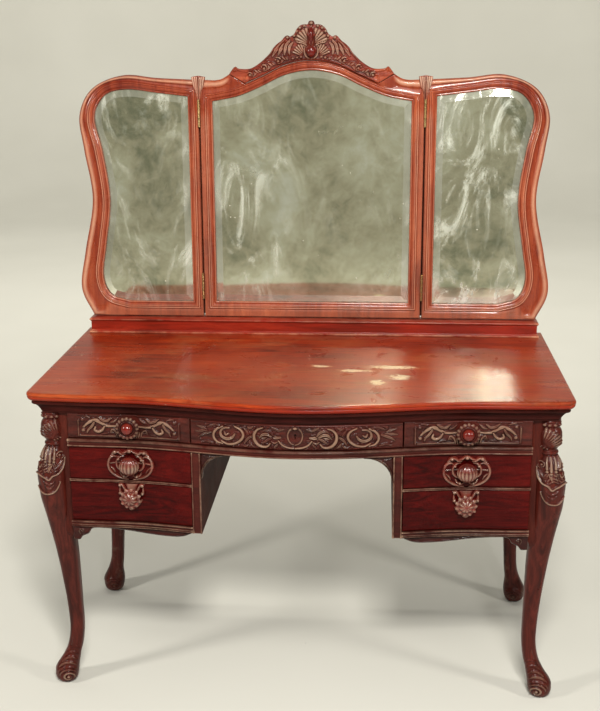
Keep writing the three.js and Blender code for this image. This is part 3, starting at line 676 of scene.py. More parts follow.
# the frame's worn colour on its bead crowns is worn polish and painted highlight, with painted shade in
# its grooves
FRAME_WOOD = mahogany("frame_mahogany", (0.12, 0.012, 0.005), (0.25, 0.040, 0.014), (0.36, 0.08, 0.03),
                      "z", rough=0.24, coat=0.22, gloss=0.26, worn=(0.62, 0.36, 0.235), edge_wear=0.2,
                      rubbed_and_sheen=0.6)
PLINTH_WOOD = mahogany("plinth_mahogany", (0.11, 0.008, 0.003), (0.21, 0.013, 0.005),
                       (0.30, 0.025, 0.009), "x", rough=0.28, coat=0.05, gloss=0.2,
                       worn=(0.5, 0.24, 0.14), edge_wear=0.9)
LEG_WOOD = mahogany("leg_mahogany", (0.020, 0.003, 0.002), (0.050, 0.007, 0.0045),
                    (0.085, 0.014, 0.008), "z", rough=0.30, coat=0.03, gloss=0.10,
                    worn=(0.20, 0.09, 0.055))
CASE_WOOD = mahogany("case_mahogany", (0.010, 0.002, 0.0015), (0.026, 0.004, 0.003),
                     (0.045, 0.007, 0.005), "x", rough=0.42, coat=0.0, gloss=0.06,
                     worn=(0.12, 0.055, 0.035), edge_wear=0.1)
SIDE_WOOD = mahogany("case_side_mahogany", (0.014, 0.0022, 0.0016), (0.032, 0.0045, 0.003),
                     (0.055, 0.009, 0.006), "y", rough=0.55, coat=0.0, gloss=0.04,
                     worn=(0.12, 0.055, 0.035), edge_wear=0.1)
CASE_MOULDING = mahogany("case_moulding_mahogany", (0.018, 0.003, 0.002), (0.045, 0.006, 0.004),
                         (0.07, 0.011, 0.007), "x", rough=0.3, coat=0.04, gloss=0.14,
                         worn=(0.30, 0.19, 0.13), edge_wear=0.9)
DRAWER_WOOD = mahogany("drawer_mahogany", (0.016, 0.0007, 0.0006), (0.048, 0.0016, 0.0014),
                       (0.085, 0.0035, 0.0025), "x", rough=0.22, coat=0.03, gloss=0.07, figure=2.2,
                       worn=(0.12, 0.035, 0.025), edge_wear=0.5)
CARVED = carved_finish("carved_mahogany", (0.013, 0.003, 0.002), (0.046, 0.007, 0.0045),
                       (0.25, 0.15, 0.10), gloss=0.18, coat=0.1, rub_and_sheen=(0.36, 1.1))
CARVED_RED = carved_finish("carved_red_mahogany", (0.018, 0.003, 0.002), (0.10, 0.012, 0.007),
                           (0.30, 0.19, 0.135), rough=0.26, gloss=0.4, coat=0.35, rub_and_sheen=(0.5, 1.25))
LEG_CARVED = carved_finish("leg_carving", (0.018, 0.003, 0.002), (0.055, 0.008, 0.005),
                           (0.27, 0.18, 0.125), rough=0.28, gloss=0.14, coat=0.08, axis="z")
CASE_CARVED = carved_finish("case_carving", (0.010, 0.002, 0.0015), (0.026, 0.004, 0.003),
                            (0.15, 0.095, 0.06), gloss=0.15)
CREST_CARVED = carved_finish("crest_carving", (0.04, 0.006, 0.003), (0.15, 0.020, 0.009),
                             (0.31, 0.20, 0.14), gloss=0.25, plain_beyond=0.158)
FRAME_CARVED = carved_finish("frame_carving", (0.06, 0.010, 0.005), (0.22, 0.045, 0.022),
                             (0.50, 0.32, 0.23), axis="z")
KNOB_WOOD = mahogany("knob_mahogany", (0.06, 0.003, 0.002), (0.13, 0.007, 0.004), (0.20, 0.014, 0.008),
                     "z", rough=0.18, coat=0.3, gloss=0.3, worn=(0.3, 0.11, 0.07), edge_wear=0.5)
LINING = plain_board("drawer_lining", (0.16, 0.075, 0.032), (0.38, 0.22, 0.11), "y")
BACKING = plain_board("mirror_backing", (0.13, 0.062, 0.028), (0.30, 0.17, 0.085), "z")
GLASS = old_mirror("old_mirror")
BRASS = metal("brass", (0.72, 0.52, 0.24), (0.30, 0.19, 0.08), 0.25)
STEEL = metal("lock_steel", (0.42, 0.40, 0.37), (0.16, 0.12, 0.09), 0.35)


# ---- Table top and its mouldings ----
CORNER_RADIUS = 22
SMALLEST_CORNER = 5
CARCASS_BACK = COVE_HIGH[1]
CARCASS_BOTTOM = corners("pedestal_bottom_right")[0][2]
PEDESTAL_INNER_X = 238.6
POST_INNER_X = 527
RAIL_LOW, RAIL_HIGH = corners("frieze_rail")
RAIL_PROUD = 4


def plan_outline(inset, back, side_inset):
    """The top's plan outline, drawn in at the front and at the ends, with rounded front corners."""
    half = TOP_HALF - side_inset
    radius = max(CORNER_RADIUS - inset, SMALLEST_CORNER)
    straight = half - radius
    x = np.linspace(-straight, straight, 181)
    front = np.column_stack([x, front_edge(x) + inset])
    turn = np.radians(np.linspace(0, 90, 12)[1:])
    centre_y = front[-1, 1] + radius
    corner = np.column_stack([straight + radius * np.sin(turn), centre_y - radius * np.cos(turn)])
    side = np.column_stack([np.full(20, half), np.linspace(centre_y, back, 21)[1:]])
    half_back = np.column_stack([np.linspace(half, 0, 30)[1:], np.full(29, back)])
    right = np.vstack([corner, side, half_back])
    left = (right[:-1] * [-1, 1])[::-1]
    return np.vstack([front, right, left])


def moulded_rings(profile, back):
    """Rings for a moulded board from a profile of (height, front inset, end inset, back inset)."""
    rings = []
    for z, inset, ends, rear in profile:
        plan = plan_outline(inset, back - rear, ends)
        rings.append(np.column_stack([plan, np.full(len(plan), z)]))
    return rings


def table_top():
    edge = [(742, 11), (743.2, 7), (745, 4.2), (747.5, 2.0), (750, 1.0), (751.5, 0.9), (752.6, 1.2),
            (753.2, 1.9), (753.8, 1.6), (754.2, 0.6), (755, 0), (757, 0), (759, 0.2), (760.8, 1.0),
            (761.7, 2.6), (762, 9), (762, 14)]
    profile = [(742, 14, 14, 14)] + [(z, inset, inset, inset) for z, inset in edge]
    piece("table_top", [tube(moulded_rings(profile, TOP_HIGH[1]))], TOP_WOOD, "table",
          "polished_mahogany", ["table_top"], sharp=50)


def top_moulding():
    """The cove under the top: a dark hollow with a thin bead along its upper edge."""
    base = COVE_LOW[2]
    profile = [(0, 17, 35), (2.6, 16.8, 34.6), (3.2, 15.4, 33), (4.6, 14.8, 31.6), (6, 15.2, 30.6),
               (6.6, 16.4, 30.4), (8, 16.8, 29), (11, 16.4, 26.5), (14, 15.2, 23.5), (17, 13.0, 19.5),
               (19, 10.8, 16), (19.6, 9.4, 14.5), (20, 7.4, 12), (21, 6.3, 11), (22.6, 6.1, 10.4),
               (23.6, 7.0, 10.6), (24, 8.2, 11), (26.7, 8.2, 10.6)]
    outer = [(base + z, inset, ends, 0) for z, inset, ends in profile]
    inner = [(base + 26.7, 78, 90, 60), (base, 78, 90, 60)]
    rings = moulded_rings(outer + inner, CARCASS_BACK)
    piece("top_moulding", [ring_tube(rings)], CASE_WOOD, "table", "dark_mahogany", ["top_moulding"],
          sharp=45)


def face_strip(x0, x1, profile, back_proud, count):
    """A moulding along the curved drawer faces; its profile is (height, how far it stands proud)."""
    x = np.linspace(x0, x1, count)
    grid = np.array([[(a, face(a) - proud, z) for a in x] for z, proud in profile])
    back = np.array([[(a, face(a) - back_proud, z) for a in x]
                     for z in (profile[-1][0], profile[0][0])])
    rows = np.concatenate([grid, back])
    return tube(rows.transpose(1, 0, 2))


def bead(low, high, base, proud, steps=7):
    """A round bead's profile from low to high, from the proudness base."""
    middle, half = (low + high) / 2, (high - low) / 2
    turn = np.linspace(-math.pi / 2, math.pi / 2, steps)
    return [(middle + half * math.sin(t), base + (proud - base) * math.cos(t)) for t in turn]


def rail_mouldings():
    low, high = RAIL_LOW[2], RAIL_HIGH[2]
    end = POST_INNER_X - 0.3
    profile = [*bead(low, low + 4.6, 4.2, 7.2), (low + 5.4, 4.6), (low + 8, 4.4), (low + 10.2, 5.0),
               *bead(low + 11, high, 4.6, 8.4, 9)]
    piece("frieze_rail_moulding", [face_strip(-end, end, profile, RAIL_PROUD - 0.3, 260)],
          CASE_MOULDING, "table", "dark_mahogany", sharp=50)
    middle_low, middle_high = (corners("middle_dust_board_right")[k][2] for k in (0, 1))
    middle = (middle_low + middle_high) / 2
    profile = [*bead(middle_low + 0.1, middle - 0.3, 1.4, 3.4),
               *bead(middle + 0.3, middle_high - 0.1, 1.4, 3.4)]
    divider = face_strip(PEDESTAL_INNER_X, end, profile, 1.0, 90)
    pair("drawer_divider_bead_{}", [divider], CASE_MOULDING, "table", "dark_mahogany", sharp=60)
    low, high = (corners("pedestal_bottom_right")[k][2] for k in (0, 1))
    profile = [(low + 0.2, 4.2), (low + 1, 5.2), (low + 3.5, 5.4), *bead(low + 4.6, low + 8, 4.6, 7.0),
               (low + 9, 4.6), (low + 10.6, 4.5), *bead(low + 11.4, high, 4.6, 7.4)]
    base = face_strip(PEDESTAL_INNER_X, end, profile, RAIL_PROUD - 0.3, 90)
    pair("pedestal_base_moulding_{}", [base], CASE_MOULDING, "table", "dark_mahogany", sharp=50)


def stile_mouldings():
    """The upright stile at each pedestal's inner edge, beaded on both its edges."""
    low, high = corners("inner_panel_right")
    z = np.linspace(low[2] + 0.2, RAIL_LOW[2] - 0.5, 40)
    section = [*bead(low[0] - 0.2, low[0] + 4.2, 0.4, 3.6), (low[0] + 5, 0.6), (high[0] - 4.2, 0.6),
               *bead(high[0] - 3.4, high[0] + 0.3, 0.4, 2.4)]
    rows = []
    for level in z:
        front = [(x, low[1] - proud, level) for x, proud in section]
        rows.append([*front, (high[0], low[1] + 0.3, level), (low[0], low[1] + 0.3, level)])
    pair("inner_stile_moulding_{}", [tube(np.array(rows))], CASE_MOULDING, "table", "dark_mahogany",
         sharp=50)


# ---- Drawer fronts ----
EASING = 1.6  # radius of a drawer front's edges
CARVING_STEP = 1.2
FRIEZE_RELIEF = 4.8
FRIEZE_MIDDLE_Z = 684.5
KEYHOLE_Z = 690
FRIEZE_KNOB_X = 382


def front_grid(xs, zs, heights):
    """Points of a drawer front on the curved face, raised by heights, with its edges eased."""
    x, z = np.meshgrid(xs, zs)
    gap = np.minimum(np.minimum(x - xs[0], xs[-1] - x), np.minimum(z - zs[0], zs[-1] - z))
    edge = np.clip(1 - gap / EASING, 0, 1)
    y = face(x) - heights * np.clip(gap / EASING, 0, 1) + EASING * (1 - np.sqrt(1 - edge**2))
    return np.stack([x, y, z], -1)


def eased(low, high, step):
    """Evenly spaced places with extra ones near both ends, for a rounded edge."""
    near = np.array([0, 0.12, 0.35, 0.65, 1.0]) * EASING
    inner = np.linspace(low + EASING, high - EASING, max(3, round((high - low) / step)))[1:-1]
    return np.concatenate([low + near, inner, (high - near)[::-1]])


def plain_fronts():
    for row in ("upper", "lower"):
        low, high = corners(f"{row}_drawer_front_right")
        xs, zs = eased(low[0], high[0], 5), eased(low[2], high[2], 8)
        grid = front_grid(xs, zs, np.zeros((len(zs), len(xs))))
        pair(f"{row}_drawer_front_{{}}", [slab(grid, high[1])], DRAWER_WOOD, f"{row}_drawer_{{}}",
             "drawer_mahogany", [f"{row}_drawer_front_{{}}"], sharp=50)


# Along the middle frieze, distances from the keyhole as drawn, and where they fall on the front.
FRIEZE_DRAWN = (0, 45, 118, 149, 208, 237)
FRIEZE_PLACED = (0, 37, 91, 116, 183, 237)


def center_frieze_carving(c):
    """A shield round the keyhole, with leaf scrolls running out to both ends."""
    for _, side in SIDES:
        def s(line, widths, height, crease=0.0):
            places = [(side * float(np.interp(x, FRIEZE_DRAWN, FRIEZE_PLACED)), FRIEZE_MIDDLE_Z + z)
                      for x, z in line]
            c.stroke(places, [1.3 * w for w in widths], 1.25 * height, crease)

        # low leaves that fill the ground under the scrolls
        for k in range(14):
            x, up = 34 + 14 * k, (-1) ** (k + 1)
            s([(x - 5, 26 * up), (x + 2, 20 * up), (x + 2, 11 * up)], [1.6, 3.0, 1.2], 2.4, 0.35)
            s([(x + 9, 2 * up), (x + 3, 7 * up), (x - 4, 5 * up)], [1.2, 2.8, 1.2], 2.2, 0.35)
            s([(x - 3, -24 * up), (x + 2, -18 * up), (x + 9, -15 * up)], [1.2, 2.4, 1.0], 2.0, 0.35)
        # border fillet above
        s([(0, 27), (237, 27)], [1.6, 1.6], 1.6)
        # leaves that fill the corners over and under the rings
        s([(60, -25), (52, -19), (46, -13)], [1.0, 2.6, 1.2], 3.0, 0.3)
        s([(120, 24), (129, 19), (136, 21)], [1.2, 2.8, 1.2], 3.0, 0.3)
        s([(119, -24), (127, -19), (133, -12)], [1.2, 2.8, 1.2], 3.0, 0.3)
        s([(209, -22), (217, -19), (224, -23)], [1.2, 2.6, 1.0], 2.8, 0.3)
        s([(72, 2), (84, -2), (98, 0), (108, 4)], [1.4, 3.2, 2.8, 1.0], 3.6, 0.35)
        # end pendant: a fan of leaves hanging off the last ring
        for k, (x, z) in enumerate([(229, 17), (231, 3), (228, -11)]):
            s([(215 - 2 * k, 4), (222, 0.6 * z + 3), (x, z)], [1.8, 3.4, 1.2], 3.2, 0.35)
        # outer ring, open at the top, with a leaf curling inside
        s([(166, 21), (154, 14), (149, 2), (154, -10), (166, -19), (181, -21), (193, -15)],
          [1.6, 2.8, 3.2, 2.6, 1.4], 4.4)
        s([(190, -21), (201, -18), (208, -9), (208, 3), (201, 13), (190, 19)], [1.4, 2.8, 3.0, 2.2],
          4.0)
        s([(166, 3), (172, -6), (183, -9), (193, -3), (194, 8), (187, 16), (177, 17)],
          [1.8, 3.6, 3.0, 2.2, 1.6], 4.2, 0.3)
        s([(178, 4), (184, 0), (187, 7)], [1.6, 2.6, 1.4], 3.4)
        s([(196, 19), (206, 22), (216, 15)], [1.2, 2.6, 1.4], 2.8, 0.3)
        # bud between the two scrolls
        s([(146, -17), (139, -8), (131, -2), (122, 2)], [1.4, 2.8, 2.8, 1.6], 3.4, 0.35)
        s([(147, 18), (140, 12), (134, 4)], [1.2, 2.4, 1.6], 2.8, 0.3)
        s([(152, -22), (142, -24), (133, -19)], [1.2, 2.4, 1.2], 2.4)
        # large C scroll beside the shield
        s([(92, 22), (108, 17), (118, 6), (117, -7), (108, -17), (94, -22), (79, -21), (70, -14)],
          [1.4, 2.4, 3.0, 3.4, 3.2, 2.6, 1.6], 4.8)
        # leaf running out from the shield, in three lobes
        s([(40, 1), (52, 0), (64, 2), (78, 7), (92, 6), (103, -2)], [2.2, 3.6, 3.2, 3.8, 3.0, 1.0], 4.2,
          0.35)
        s([(60, 4), (70, 13), (84, 16), (95, 12)], [1.6, 3.2, 3.0, 1.0], 3.2, 0.3)
        s([(64, -1), (76, -5), (88, -12), (96, -13)], [1.4, 3.0, 2.6, 1.0], 3.2, 0.3)
        s([(30, 20), (44, 17), (56, 20), (66, 24)], [1.4, 3.0, 2.6, 1.0], 3.0, 0.3)
        s([(48, -10), (58, -13), (67, -9)], [1.4, 3.0, 1.2], 3.0)
        # half of the U band and the shield's rim
        s([(0, -24), (18, -22.5), (34, -17), (45, -7)], [2.0, 2.2, 2.2, 1.6], 3.8)
        s([(0, 23), (10, 21), (17, 15), (20, 5), (17, -6), (10, -13), (0, -16)],
          [2.0, 2.2, 1.8, 2.0, 1.8, 1.8], 3.2)

    c.dome((0, FRIEZE_MIDDLE_Z + 22), (6.5, 4), 4.8)
    c.pebble(0.35, 3.4, 5)
    x, z = np.abs(c.x), c.z - KEYHOLE_Z
    shield = ((x < 12) & (np.abs(z) < 5)) | ((x < 5.5) & (np.abs(z) < 11))
    c.h = np.where(shield, -1.2, c.h)
    keyhole = (np.hypot(x, z) < 2.7) | ((x < 1.4) & (z < 0) & (z > -9))
    c.h = np.where(keyhole, -9, c.h)


def side_frieze_carving(c):
    """A sunk panel in a raised border: a leafy branch on each side of the knob."""
    for _, side in SIDES:
        def s(line, widths, height, crease=0.0):
            c.stroke([(FRIEZE_KNOB_X + side * x, FRIEZE_MIDDLE_Z + z) for x, z in line],
                     [1.35 * w for w in widths], 1.2 * height, crease)

        s([(30, -22), (118, -22)], [1.9, 1.9], 3.0)
        s([(117, -22), (117, 14)], [1.9, 1.9], 3.0)
        s([(20, 27), (118, 27)], [1.5, 1.5], 2.0)
        # fan of three leaves at the knob's foot
        for k in range(3):
            s([(17 + 5 * k, -25 + k), (20 + 5.5 * k, -14 + 1.5 * k), (29 + 5 * k, -7 + 0.5 * k),
               (37 + 3 * k, -14)], [1.2, 2.3, 2.2, 1.0], 3.2)
        # branch: out along the middle, over a crest, down to a ball in the corner
        s([(22, 3), (38, 2), (52, 3), (62, 9), (74, 15), (86, 13), (97, 6), (106, -3)],
          [1.8, 2.0, 2.6, 3.6, 4.2, 3.6, 2.6, 1.8], 4.6, 0.2)
        c.dome((FRIEZE_KNOB_X + side * 106, FRIEZE_MIDDLE_Z - 9), (5.2, 5.0), 4.4)
        c.dome((FRIEZE_KNOB_X + side * 107, FRIEZE_MIDDLE_Z + 16), (5.2, 4.6), 3.6)
        s([(40, 21), (50, 14), (60, 16), (70, 23)], [1.4, 3.0, 3.2, 1.2], 3.6, 0.3)
        s([(26, 20), (34, 13), (42, 11)], [1.4, 2.6, 1.2], 3.0)
        s([(56, 1), (62, -8), (71, -12), (79, -8), (77, -1)], [2.0, 3.0, 3.4, 3.0, 1.8], 4.2)
        s([(80, 10), (86, 0), (94, -8), (97, -15)], [2.2, 3.0, 2.4, 1.2], 3.8, 0.3)
        s([(90, 21), (99, 24), (106, 24)], [1.4, 2.6, 1.2], 2.8)
        s([(48, -15), (58, -17), (66, -18)], [1.2, 2.2, 1.0], 2.4)
    c.pebble(0.35, 3.2, 11)


def refined(low, high, step, spots):
    """Places from low to high, a step apart, and a third of it within each spot (middle, reach)."""
    places = np.arange(low, high, step / 3)
    keep = [i % 3 == 0 or any(abs(a - middle) < reach for middle, reach in spots)
            for i, a in enumerate(places)]
    return np.append(places[keep], high)


def carved_front(name, xs, zs, back_y, carve, body, make):
    """A carved drawer front; make is piece or pair."""
    x, z = np.meshgrid(xs, zs)
    carving = Carving(x, z)
    carve(carving)
    front = slab(front_grid(xs, zs, carving.heights()), back_y)
    wear_and_sheen = np.concatenate([carving.wear_and_sheen(FRIEZE_RELIEF), np.full(len(front[0]) - carving.h.size, 0.1)])
    make(name, [(*front, wear_and_sheen)], CARVED, body, "carved_mahogany", [name], sharp=60)


def frieze_fronts():
    low, high = corners("center_frieze_drawer_front")
    xs = refined(low[0], high[0], CARVING_STEP, [(0, 14)])
    zs = refined(low[2], high[2], CARVING_STEP, [(KEYHOLE_Z - 2, 13)])
    carved_front("center_frieze_drawer_front", xs, zs, high[1], center_frieze_carving,
                 "center_frieze_drawer", piece)
    low, high = corners("side_frieze_drawer_front_right")
    xs, zs = refined(low[0], high[0], CARVING_STEP, []), refined(low[2], high[2], CARVING_STEP, [])
    carved_front("side_frieze_drawer_front_{}", xs, zs, high[1], side_frieze_carving,
                 "side_frieze_drawer_{}", pair)


# ---- Mirror frames ----
MIRROR_FRONT_Y = corners("center_mirror_frame")[0][1]
MIRROR_BACK_Y = corners("center_mirror_frame")[1][1]
MIRROR_BOTTOM = corners("center_mirror_frame")[0][2]
GLASS_FRONT_Y = corners("center_mirror_glass")[0][1]
HINGE_X = 291.5
STILE_EDGE = HINGE_X - 2
REBATE = 7
ARCH = [(254, 1376), (190, 1389), (130, 1413), (67, 1442), (0, 1453)]
HEAD_RAIL = 24
HEAD_RAIL_END = 172  # as far out as the head rail follows the arch
LIP_DEPTH = 8.7  # from the frame's front back to the glass
CREST_END = (211, 1444)


def arch(raised):
    """The arched upper edge of the centre glass, from right to left."""
    points = [(x, z + raised) for x, z in ARCH]
    return along(points + mirror_x(points[:-1][::-1]), 24)


def center_sight():
    top = arch(0)
    return [(-257, 847), (257, 847), (257, 1376), *top[1:-1].tolist(), (-257, 1376)]


def center_outline():
    shoulder = [(STILE_EDGE, 1430), (270, 1428.4), (250, 1428), (236, 1430), (228, 1433), (218, 1439),
                CREST_END]
    head = [p for p in arch(HEAD_RAIL).tolist() if abs(p[0]) < HEAD_RAIL_END]
    return [(-STILE_EDGE, MIRROR_BOTTOM), (STILE_EDGE, MIRROR_BOTTOM), *shoulder, *head,
            *mirror_x(shoulder[::-1])]


def wing_outline():
    sweep = along([(594, MIRROR_BOTTOM), (625, 880), (610, 980), (583, 1120), (599, 1250), (607, 1340),
                   (570, 1408), (490, 1441), (400, 1434), (HINGE_X + 2, 1429)], 16)
    return [(HINGE_X + 2, MIRROR_BOTTOM), *sweep.tolist()]


def wing_sight():
    sweep = along([(495, 846), (546, 864), (565, 915), (553, 1000), (537, 1120), (551, 1245),
                   (568, 1335), (538, 1391), (480, 1406), (400, 1397), (321, 1388)], 16)
    return [(321, 846), *sweep.tolist()]


def offset_outline(outline, distance):
    """A closed anticlockwise outline moved outwards, mitred at its corners. Gives its points, the way
    outwards at each, and how much farther each moves because of the mitre."""
    before, after = np.roll(outline, 1, axis=0), np.roll(outline, -1, axis=0)
    first = (outline - before) / np.maximum(np.linalg.norm(outline - before, axis=1), 1e-9)[:, None]
    second = (after - outline) / np.maximum(np.linalg.norm(after - outline, axis=1), 1e-9)[:, None]
    normal = np.column_stack([first[:, 1] + second[:, 1], -first[:, 0] - second[:, 0]])
    length = np.linalg.norm(normal, axis=1)
    normal = normal / length[:, None]
    mitre = np.clip(length / 2, 0.35, 1)
    return outline + normal * (distance / mitre)[:, None], normal, 1 / mitre


# A mirror frame's inner moulding: (distance out from the glass, depth behind the front, wear and
# painted light).
# The third number paints crowns paler, as worn polish and painted highlight, and creases darker, as
# painted shade.
SIGHT_SECTION = [(0, LIP_DEPTH, 0.3), (0, 6.8, 0.3), (0.4, 5.8, 0.5), (1.5, 5.0, 0.6), (3, 4.4, 0.5),
                 (4, 4.7, 0.2), (4.6, 4.8, 0), (5.2, 4.4, 0.1), (6.5, 3.1, 0.4), (8, 2.2, 0.4),
                 (10, 1.5, 0.4), (12, 1.15, 0.6), (13.6, 1.0, 0.6), (14.3, 1.3, 0.1), (14.8, 1.7, 0),
                 (15.3, 1.2, 0.2), (16, 0.65, 0.7), (17, 0.35, 0.85), (18, 0.6, 0.65), (18.8, 1.3, 0.2),
                 (19.3, 2.2, 0)]


OUTER_BEAD_WIDTH = 19.0
FRAME_EDGE_ROUNDING = 3.0


def frame_loft(sight, outline, outer_bead):
    """A moulded mirror frame: the sight section runs round the glass, then a hollow, then the outer
    bead, whose strength at a place is outer_bead(x, z), 0 to 1."""
    sight = subdivided(sight, 6)
    count = len(sight)
    _, normal, mitre = offset_outline(sight, 1)
    closed = np.vstack([outline, outline[:1]])
    reach = np.array([ray_reach(point, ahead, closed) for point, ahead in zip(sight, normal)])
    width = reach / mitre
    rings, wear_and_sheen = [], []
    last = SIGHT_SECTION[-1][0]
    crest_shade = smooth_step(sight[:, 1], 1330, 1385)  # painted shade: less rubbed colour along the head, which lies in the crest's shade
    for out, depth, rub_and_sheen in SIGHT_SECTION:
        rings.append(ring_at(sight, normal, mitre, np.full(count, out), depth))
        wear_and_sheen.append(rub_and_sheen * (1 - 0.6 * crest_shade))
    edge_points = sight + normal * reach[:, None]
    for corner in np.asarray(outline)[sharp_corners(outline)]:
        edge_points[np.linalg.norm(edge_points - corner, axis=1).argmin()] = corner
    strength = np.array([outer_bead(x, z) for x, z in edge_points])
    room = width - last
    inner_edge = sight + normal * (last * mitre)[:, None]
    bead_width = np.minimum(OUTER_BEAD_WIDTH, 0.62 * room)
    # from the sight section out to the edge
    for k in np.linspace(0, 1, 15)[1:]:
        from_edge = np.maximum(width - last - room * k, 0)
        q = np.clip(from_edge / bead_width, 0, 1)
        hollow = 2.4 + 2.2 * np.sin(math.pi * np.clip(k * 1.2, 0, 1))
        crown = 5.5 * (1 - 2 * q) ** 2 * (q < 0.5) + 3.2 * np.clip(2 * q - 1, 0, 1) ** 2
        rounded = np.where(from_edge < bead_width, 0.2 + crown, hollow)
        flat = 1.6 + 1.6 * np.exp(-((k / 0.2) ** 2)) + 4.0 * np.clip(1 - from_edge
                                                                     / FRAME_EDGE_ROUNDING, 0, 1) ** 2
        place = inner_edge + (edge_points - inner_edge) * k
        rings.append(at_depth(place, strength * rounded + (1 - strength) * flat))
        # the outer bead's crown is painted paler, as worn polish and painted highlight
        on_bead = np.where(from_edge < bead_width, 1 - 0.8 * np.abs(2 * q - 1), 0.15)
        # along the head the flats get less rubbed colour, as painted shade under the crest
        wear_and_sheen.append(strength * on_bead + (1 - strength) * (0.48 - 0.36 * crest_shade))
    # round the edge, across the back and into the rebate
    thickness = MIRROR_BACK_Y - MIRROR_FRONT_Y
    rings.append(at_depth(edge_points, thickness - 1))
    rings.append(at_depth(edge_points + (inner_edge - edge_points) * (1 / np.maximum(room, 2))[:, None],
                          thickness))
    rings.append(ring_at(sight, normal, mitre, np.full(count, REBATE), thickness))
    rings.append(ring_at(sight, normal, mitre, np.full(count, REBATE), LIP_DEPTH))
    wear_and_sheen += [np.full(count, 0.3)] * 4
    return (*ring_tube(rings), np.concatenate(wear_and_sheen))


def at_depth(place, depth):
    return np.column_stack([place[:, 0], MIRROR_FRONT_Y + depth * np.ones(len(place)), place[:, 1]])


def ring_at(sight, normal, mitre, out, depth):
    return at_depth(sight + normal * (out * mitre)[:, None], depth)


def sharp_corners(outline):
    """Which points of a closed outline turn by more than 40 degrees."""
    outline = np.asarray(outline, float)
    before, after = outline - np.roll(outline, 1, axis=0), np.roll(outline, -1, axis=0) - outline
    cosine = (before * after).sum(1) / (np.linalg.norm(before, axis=1) * np.linalg.norm(after, axis=1))
    return np.nonzero(cosine < math.cos(math.radians(40)))[0]


def ray_reach(point, ahead, closed):
    """How far along a ray from a point inside an outline the outline is."""
    a, step = closed[:-1], np.diff(closed, axis=0)
    cross = ahead[0] * step[:, 1] - ahead[1] * step[:, 0]
    cross = np.where(np.abs(cross) < 1e-9, 1e-9, cross)
    gap = a - point
    t = (gap[:, 0] * step[:, 1] - gap[:, 1] * step[:, 0]) / cross
    s = (gap[:, 0] * ahead[1] - gap[:, 1] * ahead[0]) / cross
    ahead_of = t[(s >= -1e-6) & (s <= 1 + 1e-6) & (t > 0.5)]
    return ahead_of.min()


def center_frame():
    def strength(x, z):
        return smooth_step(z, 1405, 1422) * smooth_step(abs(x), 205, 225)

    piece("center_mirror_frame", [frame_loft(center_sight(), np.array(center_outline()), strength)],
          FRAME_WOOD, "table", "polished_mahogany", ["center_mirror_frame"], sharp=38)


def wing_frames():
    def strength(x, z):
        return max(smooth_step(z, 1405, 1425), smooth_step(x, 330, 400) * smooth_step(z, 806, 860),
                   smooth_step(x, 560, 600))

    pair("wing_mirror_frame_{}", [frame_loft(wing_sight(), np.array(wing_outline()), strength)],
         FRAME_WOOD, "wing_{}", "polished_mahogany", ["wing_mirror_frame_{}"], sharp=38)


# ---- Mirror glass ----
GLASS_THICKNESS = 5
GLASS_BEVEL = 18
BEVEL_DROP = 2.2


def bevelled_glass(sight):
    """A pane whose rim is ground to a wide flat bevel, running under the frame's lip."""
    sight = subdivided(sight, 5)
    lip, _, _ = offset_outline(sight, REBATE - 0.3)
    field, _, _ = offset_outline(sight, -GLASS_BEVEL)
    flat, _, _ = offset_outline(sight, -GLASS_BEVEL - 1)
    clear = edge_distance(flat, np.vstack([sight, sight[:1]])) > GLASS_BEVEL + 0.6
    lip, field, flat = lip[clear], field[clear], flat[clear]
    drop = BEVEL_DROP * (1 + (REBATE - 0.3) / GLASS_BEVEL)
    # the third number marks the bevel, which the glass finish paints paler as painted reflection
    levels = [(lip, GLASS_THICKNESS, 1), (lip, drop, 1), (field, 0, 1), (flat, 0, 0)]
    rings = [np.column_stack([line[:, 0], np.full(len(line), GLASS_FRONT_Y + depth), line[:, 1]])
             for line, depth, _ in levels]
    return (*tube(rings), np.repeat([level[2] for level in levels], len(lip)))


def glasses():
    piece("center_mirror_glass", [bevelled_glass(center_sight())], GLASS, "table", "mirror_glass",
          ["center_mirror_glass"], sharp=2)
    pair("wing_mirror_glass_{}", [bevelled_glass(wing_sight())], GLASS, "wing_{}", "mirror_glass",
         ["wing_mirror_glass_{}"], sharp=2)


# ---- Plinth ----
def plinth():
    """The long block under the mirrors: a moulded base, a flat face and a moulded cap."""
    low, high = corners("mirror_plinth")
    base, top = low[2], high[2]
    profile = [(0, 0.6), (0.8, 0), (4.2, 0), (5.4, 0.8), (6, 2.2), (6.4, 2.8), (7.6, 3.0), (8.6, 4.0),
               (9.2, 5.2), (31.4, 5.2), (32, 4.2), (33, 3.2), (34, 3.0), (34.6, 2.0), (35.4, 1.1),
               (36.6, 1.0), (38, 1.4), (39.3, 2.6), (top - base, 4.6)]
    rings = []
    for z, inset in profile:
        left, right = low[0] + inset, high[0] - inset
        front, back = low[1] + inset, high[1] - inset
        x = np.concatenate([np.linspace(left, right, 80), np.full(6, right),
                            np.linspace(right, left, 80), np.full(6, left)])
        side = np.linspace(front, back, 8)[1:-1]
        y = np.concatenate([np.full(80, front), side, np.full(80, back), side[::-1]])
        rings.append(np.column_stack([x, y, np.full(len(x), base + z)]))
    piece("mirror_plinth", [tube(rings)], PLINTH_WOOD, "table", "polished_mahogany", ["mirror_plinth"],
          sharp=45)


